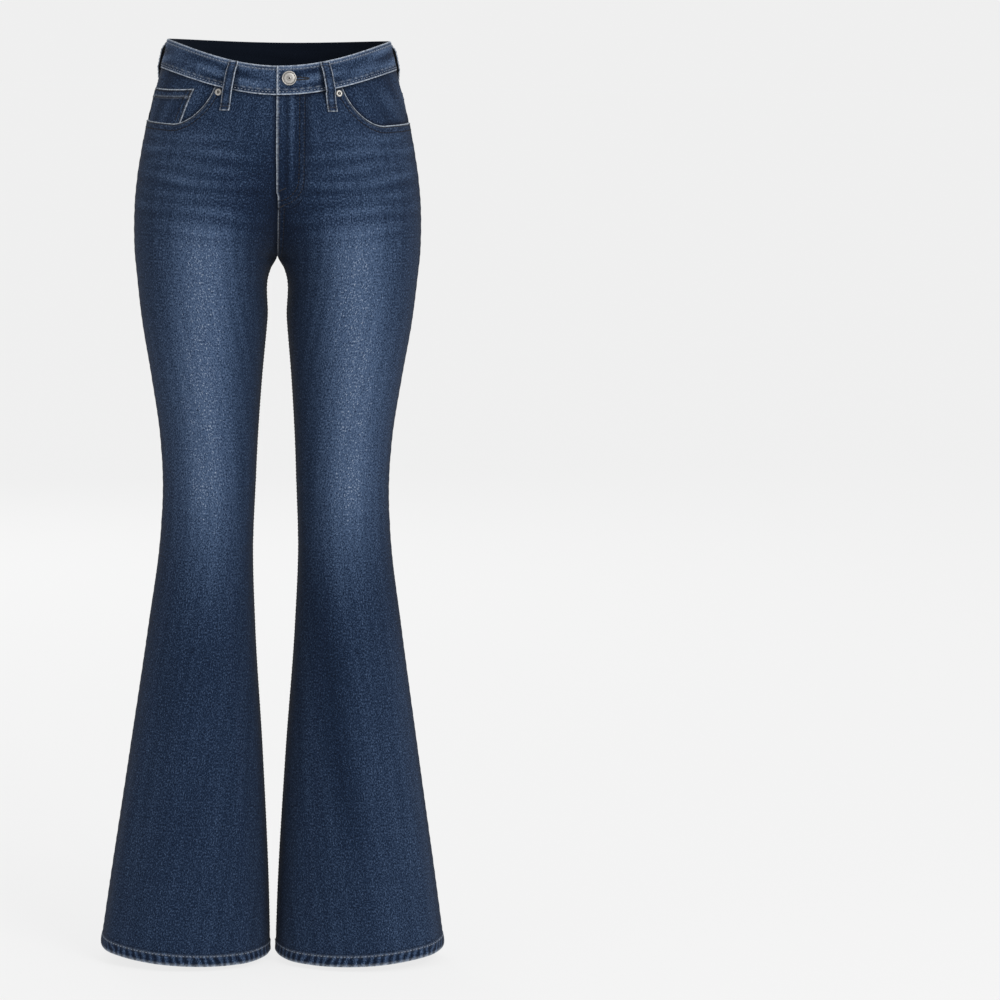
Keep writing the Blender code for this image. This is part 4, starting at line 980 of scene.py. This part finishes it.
def turned(name, node, profile, place, out, count):
    """A lathed piece: profile runs from the axis over the top to the foot, (radius, height, hollow) in mm."""
    out = Vector(out).normalized()
    flat = Vector((0.0, 0.0, 1.0)).cross(out).normalized()
    rise = out.cross(flat)
    points, hollows, faces = [], [], []
    for r, (radius, height, deep) in enumerate(profile):
        for k in range(count):
            turn = 2 * math.pi * k / count
            spoke = flat * math.cos(turn) + rise * math.sin(turn)
            points.append(Vector(place) + spoke * radius * MM + out * height * MM)
            hollows.append(deep)
            if r:
                a, b = (r - 1) * count + k, (r - 1) * count + (k + 1) % count
                faces.append((a, a + count, b + count, b))
    faces += [tuple(range(count)), tuple(len(points) - 1 - k for k in range(count))]
    mesh = bpy.data.meshes.new(name)
    mesh.from_pydata([tuple(p) for p in points], [], faces)
    mesh.attributes.new("hollow", "FLOAT", "POINT").data.foreach_set("value", hollows)
    mesh.shade_smooth()
    mesh.set_sharp_from_angle(angle=math.radians(50))
    mesh.materials.append(nickel)
    piece = bpy.data.objects.new(name, mesh)
    bpy.context.scene.collection.objects.link(piece)
    show(piece, node)


BUTTON_STATION, BUTTON_INSET = 0.062, 1.5
button_drop = band_top(BUTTON_STATION) + BUTTON_INSET
button_at, button_out = on_band(BUTTON_STATION, button_drop, float(band_lift(BUTTON_STATION)) + SEAM_GAP)
turned("tack_button", "button", (
    (0.15, 2.70, 1.0), (0.7, 2.75, 1.0), (1.0, 3.15, 0.7), (1.35, 3.50, 0.0), (1.8, 3.55, 0.0),
    (2.1, 3.30, 0.6), (2.5, 3.22, 0.35), (4.2, 3.30, 0.05), (5.8, 3.25, 0.10), (6.3, 3.10, 0.5),
    (6.7, 3.05, 0.75), (7.0, 3.30, 0.4), (7.3, 3.75, 0.0), (7.7, 3.90, 0.0), (8.15, 3.75, 0.0),
    (8.42, 3.40, 0.05), (8.5, 3.0, 0.2), (8.35, 2.5, 0.5), (7.8, 2.1, 0.8), (3.6, 2.0, 1.0),
    (3.4, 1.8, 1.0), (3.4, 0.0, 1.0),
), button_at, button_out, 64)
RIVET_INSET = 0.75    # cm from the mouth's upper end, both ways
for word, side in (("left", 1), ("right", -1)):
    drop = float(waist_seam("front", share_at("front", MOUTH_REACH, 6.0))) + RIVET_INSET
    at, out = facing_out("front", float(share_at("front", MOUTH_REACH + RIVET_INSET, drop)), drop)
    turned(f"burr_rivet_{word}", f"rivet_{word}", (
        (0.1, 1.55, 0.4), (0.45, 1.55, 0.4), (0.75, 1.45, 0.7), (0.95, 1.05, 1.0), (1.3, 0.85, 1.0),
        (1.65, 1.15, 0.6), (2.1, 1.55, 0.1), (2.8, 1.60, 0.0), (3.5, 1.35, 0.0), (4.0, 0.85, 0.1),
        (4.25, 0.4, 0.4), (4.3, 0.0, 0.9),
    ), (at + out * 0.55 * MM) * (side, 1, 1), out * (side, 1, 1), 40)


# The stitching: spun polyester thread of 0.6 mm, in a dark brown grey on the panels and a paler blue grey
# round the band and the hems, at 3.3 mm pitch. It is drawn at 4.1 mm and 0.9 mm thick so that it shows. The
# tacks at the points of strain are close rows of crosswise stitches.


def thread(name, code):
    """Twisted thread: a fine bump and a little unevenness of dye."""
    made, tree, shader = new_material(name, Roughness=0.8)
    place = add(tree, "ShaderNodeTexCoord").outputs["Object"]
    dye = add(tree, "ShaderNodeTexNoise", {"Vector": place, "Scale": 900.0, "Detail": 2.0})
    level = add(tree, "ShaderNodeMath", {0: dye, 1: 0.9, 2: 0.55}, operation="MULTIPLY_ADD")
    tone = add(tree, "ShaderNodeVectorMath", {0: linear(code)[:3], 1: level}, operation="MULTIPLY")
    tree.links.new(tone.outputs[0], shader.inputs["Base Color"])
    bump = add(tree, "ShaderNodeBump", {"Height": dye, "Strength": 0.4, "Distance": 0.0002})
    tree.links.new(bump.outputs[0], shader.inputs["Normal"])
    return made


brown_thread = thread("dark_brown_grey_thread", "#231f1e")
pale_thread = thread("pale_blue_grey_thread", "#8891a0")

stitcher = bpy.data.node_groups.new("stitch_row", "GeometryNodeTree")
stitcher.interface.new_socket("Geometry", in_out="INPUT", socket_type="NodeSocketGeometry")
for word, size in (("Pitch", 0.0041), ("Stitch Length", 0.0027), ("Thread Width", 0.0009), ("Turn", 0.0)):
    stitcher.interface.new_socket(word, in_out="INPUT", socket_type="NodeSocketFloat").default_value = size
stitcher.interface.new_socket("Material", in_out="INPUT", socket_type="NodeSocketMaterial")
stitcher.interface.new_socket("Geometry", in_out="OUTPUT", socket_type="NodeSocketGeometry")
entry = add(stitcher, "NodeGroupInput").outputs
curve = add(stitcher, "GeometryNodeMeshToCurve", {"Mesh": entry["Geometry"]})
even = add(stitcher, "GeometryNodeResampleCurve", {"Curve": curve, "Length": entry["Pitch"]}, mode="LENGTH")
out_way = add(stitcher, "GeometryNodeInputNamedAttribute", {"Name": "out"}, data_type="FLOAT_VECTOR")
tangent = add(stitcher, "GeometryNodeInputTangent")
upright = add(stitcher, "FunctionNodeAlignRotationToVector", {"Vector": out_way}, axis="Z")
laid = add(stitcher, "FunctionNodeAlignRotationToVector", {"Rotation": upright, "Vector": tangent}, axis="X",
           pivot_axis="Z")
jitter = add(stitcher, "FunctionNodeRandomValue", {2: -0.10, 3: 0.10, "Seed": 7}, data_type="FLOAT")
spin = add(stitcher, "ShaderNodeMath", {0: jitter.outputs[1], 1: entry["Turn"]}, operation="ADD")
euler = add(stitcher, "ShaderNodeCombineXYZ", {"Z": spin})
local = add(stitcher, "FunctionNodeEulerToRotation", {0: euler})
both_turns = add(stitcher, "FunctionNodeRotateRotation", {0: laid, 1: local}, rotation_space="LOCAL")
half_long, half_wide = (add(stitcher, "ShaderNodeMath", {0: entry[word], 1: 0.5}, operation="MULTIPLY")
                        for word in ("Stitch Length", "Thread Width"))
sizes = add(stitcher, "ShaderNodeCombineXYZ", {"X": half_long, "Y": half_wide, "Z": half_wide})
ball = add(stitcher, "GeometryNodeMeshUVSphere", {"Segments": 6, "Rings": 4, "Radius": 1.0})
placed = add(stitcher, "GeometryNodeInstanceOnPoints", {
    "Points": even, "Instance": ball, "Rotation": both_turns, "Scale": sizes})
real = add(stitcher, "GeometryNodeRealizeInstances", {0: placed})
soft = add(stitcher, "GeometryNodeSetShadeSmooth", {0: real})
dyed = add(stitcher, "GeometryNodeSetMaterial", {0: soft, "Material": entry["Material"]})
add(stitcher, "NodeGroupOutput", {"Geometry": dyed})


def on_cloth(node, places, rise=-0.12):
    """Drops points near a piece onto its outer face: (place, outward normal) of each, rise mm over it."""
    found = []
    for place in places:
        _, at, normal, _ = garment[node].closest_point_on_mesh(Vector(place))
        found.append((at + normal * rise * MM, normal))
    return found


def sew(name, lines, material, **sizes):
    """Lays stitches along lines of (place, normal) and makes one plain mesh of them."""
    guide = bpy.data.meshes.new(name)
    points = [tuple(place) for line in lines for place, _ in line]
    edges, first = [], 0
    for line in lines:
        edges += [(first + k, first + k + 1) for k in range(len(line) - 1)]
        first += len(line)
    guide.from_pydata(points, edges, [])
    ways = guide.attributes.new("out", "FLOAT_VECTOR", "POINT")
    ways.data.foreach_set("vector", [v for line in lines for _, normal in line for v in normal])
    piece = bpy.data.objects.new(name, guide)
    bpy.context.scene.collection.objects.link(piece)
    modifier = piece.modifiers.new("stitches", "NODES")
    modifier.node_group = stitcher
    ids = {item.name: item.identifier for item in stitcher.interface.items_tree if item.in_out == "INPUT"}
    modifier[ids["Material"]] = material
    for key, value in sizes.items():
        modifier[ids[key.replace("_", " ")]] = value
    graph = bpy.context.evaluated_depsgraph_get()
    plain = bpy.data.meshes.new_from_object(piece.evaluated_get(graph))
    piece.modifiers.clear()
    piece.data = plain
    bpy.data.meshes.remove(guide)
    plain.name = name
    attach(piece, "root")


def form_line(node, shares, drops, above=2):
    """A line of stitches at shares and drops on a piece laid on the form, found from above mm over it."""
    face, side = laid_on[node]
    shares, drops = np.broadcast_arrays(np.asarray(shares, float), np.asarray(drops, float))
    before, after = (on_form(face, np.clip(shares + move, 0, 1), drops)[0] for move in (-0.005, 0.005))
    higher, lower = (on_form(face, shares, drops + move)[0] for move in (-0.1, 0.1))
    out = np.cross(after - before, lower - higher) * (-1 if face == "back" else 1)
    out = out / np.linalg.norm(out, axis=-1, keepdims=True)
    return on_cloth(node, (on_form(face, shares, drops)[0] + out * above * MM) * (side, 1, 1))


def flat_line(node, distance, drops, above=2, from_centre=False):
    """The same at distances in cm from the side seam, or from the centre seam or inseam."""
    face, _ = laid_on[node]
    distance, drops = np.broadcast_arrays(np.asarray(distance, float), np.asarray(drops, float))
    if from_centre:
        distance = girth(face, drops) - distance
    return form_line(node, [float(share_at(face, a, d)) for a, d in zip(distance, drops)], drops, above)


brown_lines, pale_lines, tacks = [], [], []
straight, turn = np.arange(6.3, J_START, 0.3), np.linspace(0.0, 1.35, 16)
for inset in (0.0, 0.65):
    across = np.concatenate([np.full(len(straight), J_INSET - inset), (J_INSET - inset) * np.cos(turn)])
    falls = np.concatenate([straight, J_START + (J_DEPTH - inset) * np.sin(turn)])
    brown_lines.append(flat_line("front_left", across, falls, 4, True))
for inset in (0.22, 0.82):
    brown_lines.append(flat_line("front_left", inset, np.arange(19.6, 25.2, 0.3), 2, True))
for word, side in (("left", 1), ("right", -1)):
    front, back, pocket = f"front_{word}", f"back_{word}", f"back_pocket_{word}"
    for inset in (0.20, 0.85):
        xs, ys = mouth(np.linspace(0.01, 0.985, 60))
        dx, dy = np.gradient(xs), np.gradient(ys)
        size = np.hypot(dx, dy)
        xs, ys = xs - dy / size * inset, ys + dx / size * inset
        keep = (ys > 4.6) & (xs > 0.12)
        brown_lines.append(flat_line(front, xs[keep], ys[keep]))
    for inset in (0.22, 0.78):
        brown_lines.append(flat_line(front, inset, np.arange(27.5, 107.3, 0.5), 2, True))
    for node in (front, back):
        shares = np.linspace(0.0, 1.0, 70)
        pale_lines.append(form_line(node, shares, hem_drop(shares) - 1.22))
    shares = np.linspace(0.005, 0.97 if side > 0 else 0.995, 60)
    for inset in (0.20, 0.85):
        brown_lines.append(form_line(back, shares, yoke_seam(shares) + inset))
    for inset in (0.22, 0.85):
        a, b = inset / POCKET_WIDE, inset / 10.3
        down, over = np.linspace(0.012, 1 - b, 40), np.linspace(a, 1 - a, 40)[1:]
        xs = np.concatenate([np.full(40, a), over, np.full(39, 1 - a)])
        ys = np.concatenate([down, np.full(39, 1 - b), down[-2::-1]])
        brown_lines.append(form_line(pocket, *on_pocket(xs, ys), 4))
    for up in (0.018, 0.086):
        brown_lines.append(form_line(pocket, *on_pocket(np.linspace(0.02, 0.98, 40), up), 4))
    for edge in (0.02, 0.98):
        tacks.append(form_line(pocket, *on_pocket(edge, np.linspace(0.005, 0.075, 5)), 4))
    tacks.append(flat_line(front, 0.45, np.linspace(9.85, 10.65, 5)))
for inset in (0.22, 0.85):
    brown_lines.append(flat_line("yoke_left", inset, np.arange(4.1, 7.6, 0.3), 2, True))
    brown_lines.append(flat_line("back_left", inset, np.arange(8.1, 25.0, 0.3), 2, True))
inner = COIN_INNER + COIN_TAPER * np.linspace(0.0, 1.0, 12)
for line in (COIN_OUTER + 0.2, inner - 0.2, inner - 0.8):
    brown_lines.append(flat_line("coin_pocket", line, np.linspace(COIN_TOP + 0.1, COIN_FOOT - 0.4, 12)))
for fall in (0.28, 1.05):
    line = np.linspace(COIN_OUTER + 0.15, COIN_INNER - 0.15, 20)
    brown_lines.append(flat_line("coin_pocket", line, COIN_TOP + fall))
tacks.append(flat_line("coin_pocket", COIN_INNER - 0.35, np.linspace(COIN_TOP + 0.2, COIN_TOP + 0.95, 5)))
for fall in (17.0, 19.0):
    line = np.linspace(0.15, 0.95, 5)
    shares = [float(share_at("front", float(girth("front", fall)) - a, fall)) for a in line]
    tacks.append(form_line("front_left", shares, fall + 0.45 * (1 - line), 4))
lap_row = start + 0.35 / front_girth
for inset in (0.42, BAND - 0.35):
    pale_lines.append(on_cloth("waistband", [
        on_band(station, band_top(station) + inset, band_lift(station) + 1 * MM)[0]
        for station in np.linspace(lap_row, 3.985, 420)
    ]))
falls = FRONT_DIP + np.linspace(0.42, BAND - 0.35, 12)
pale_lines.append(on_cloth("waistband", [
    on_band(lap_row, fall, band_lift(0.0) + 1 * MM)[0] for fall in falls
]))
for node, grid in loop_faces.items():
    for column in (3, 10):
        brown_lines.append(on_cloth(node, grid[3:-3:2, column], 0.05))
    for row in (6, -7):
        tacks.append(on_cloth(node, grid[row, 1:-1], 0.15))
sew("topstitching_brown", brown_lines, brown_thread)
sew("topstitching_pale", pale_lines, pale_thread)
sew("bar_tacks", tacks, brown_thread,
    Pitch=0.0007, Stitch_Length=0.0022, Thread_Width=0.0006, Turn=math.pi / 2)


# The buttonhole: a keyhole cut through the lapped end of the band and bound with close stitches. Its eye is
# under the button, and its slit runs 17 mm towards the wearer's left, where a tack closes it.

lengths = np.linspace(0.55, 2.2, 14)
hole = []
for length, half in [*((a, -0.09) for a in lengths), (2.27, 0.0), *((a, 0.09) for a in lengths[::-1])]:
    station = BUTTON_STATION + length / front_girth
    hole.append(on_band(station, button_drop + half * (2.9 - length), band_lift(station) + 1 * MM)[0])
sew("buttonhole_purl", [on_cloth("waistband", hole, 0.15)], brown_thread,
    Pitch=0.0006, Stitch_Length=0.0021, Thread_Width=0.00055, Turn=math.pi / 2)


# The stage: a wide pale floor under the jeans, lit as in a product studio by one large soft light beside the
# camera, a weaker one from each side, one for the back and an even pale room.

WHITE = (1.0, 1.0, 1.0, 1.0)
floor_z = cad_box[0][2] - 0.012
mesh = bpy.data.meshes.new("floor")
corners = [(x, y, floor_z) for x, y in ((-60, -60), (60, -60), (60, 60), (-60, 60))]
mesh.from_pydata(corners, [], [(0, 1, 2, 3)])
paper, *_ = new_material("lit_white_studio_floor", Base_Color=(0.13, 0.13, 0.13, 1.0), Roughness=0.9,
                         Specular_IOR_Level=0.0, Emission_Color=WHITE, Emission_Strength=0.79)
mesh.materials.append(paper)
floor = bpy.data.objects.new("floor", mesh)
bpy.context.scene.collection.objects.link(floor)


def soft_light(name, place, size, watts):
    """A rectangular light aimed at the jeans' middle."""
    lamp = bpy.data.lights.new(name, "AREA")
    lamp.shape, lamp.size, lamp.size_y, lamp.energy = "RECTANGLE", size[0], size[1], watts
    holder = bpy.data.objects.new(name, lamp)
    holder.location = place
    holder.rotation_euler = (Vector((0.0, 0.0, -0.5)) - Vector(place)).to_track_quat("-Z", "Y").to_euler()
    bpy.context.scene.collection.objects.link(holder)


soft_light("key_light", (1.9, -3.2, 1.6), (1.4, 1.4), 72.0)
soft_light("fill_light_left", (3.0, -2.0, 0.4), (1.4, 2.2), 14.0)
soft_light("fill_light_right", (-3.0, -2.0, 0.4), (1.4, 2.2), 5.0)
soft_light("back_light", (-1.2, 4.4, 1.2), (1.6, 1.6), 44.0)
world = bpy.data.worlds.new("studio")
world.use_nodes = True
tree = world.node_tree
tree.nodes.clear()
room, wall = (add(tree, "ShaderNodeBackground", {0: WHITE, 1: strength}) for strength in (0.58, 0.865))
seen = add(tree, "ShaderNodeLightPath").outputs["Is Camera Ray"]
either = add(tree, "ShaderNodeMixShader", {0: seen, 1: room, 2: wall})
add(tree, "ShaderNodeOutputWorld", {0: either})
bpy.context.scene.world = world
bpy.context.scene.view_settings.view_transform = "Standard"
bpy.context.scene.view_settings.look = "None"

lens = bpy.data.cameras.new("camera")
lens.lens, lens.sensor_width, lens.clip_end = 163.3, 36.0, 60.0
camera = bpy.data.objects.new("camera", lens)
camera.location = (0.0, -5.4, 0.05)
turn, tilt, roll = math.radians(2.845), math.radians(-6.288), math.radians(0.71)
aim = Vector((math.sin(turn), math.cos(turn), math.tan(tilt)))
camera.rotation_euler = (aim.to_track_quat("-Z", "Y") @ Quaternion((0.0, 0.0, 1.0), roll)).to_euler()
bpy.context.scene.collection.objects.link(camera)
bpy.context.scene.camera = camera
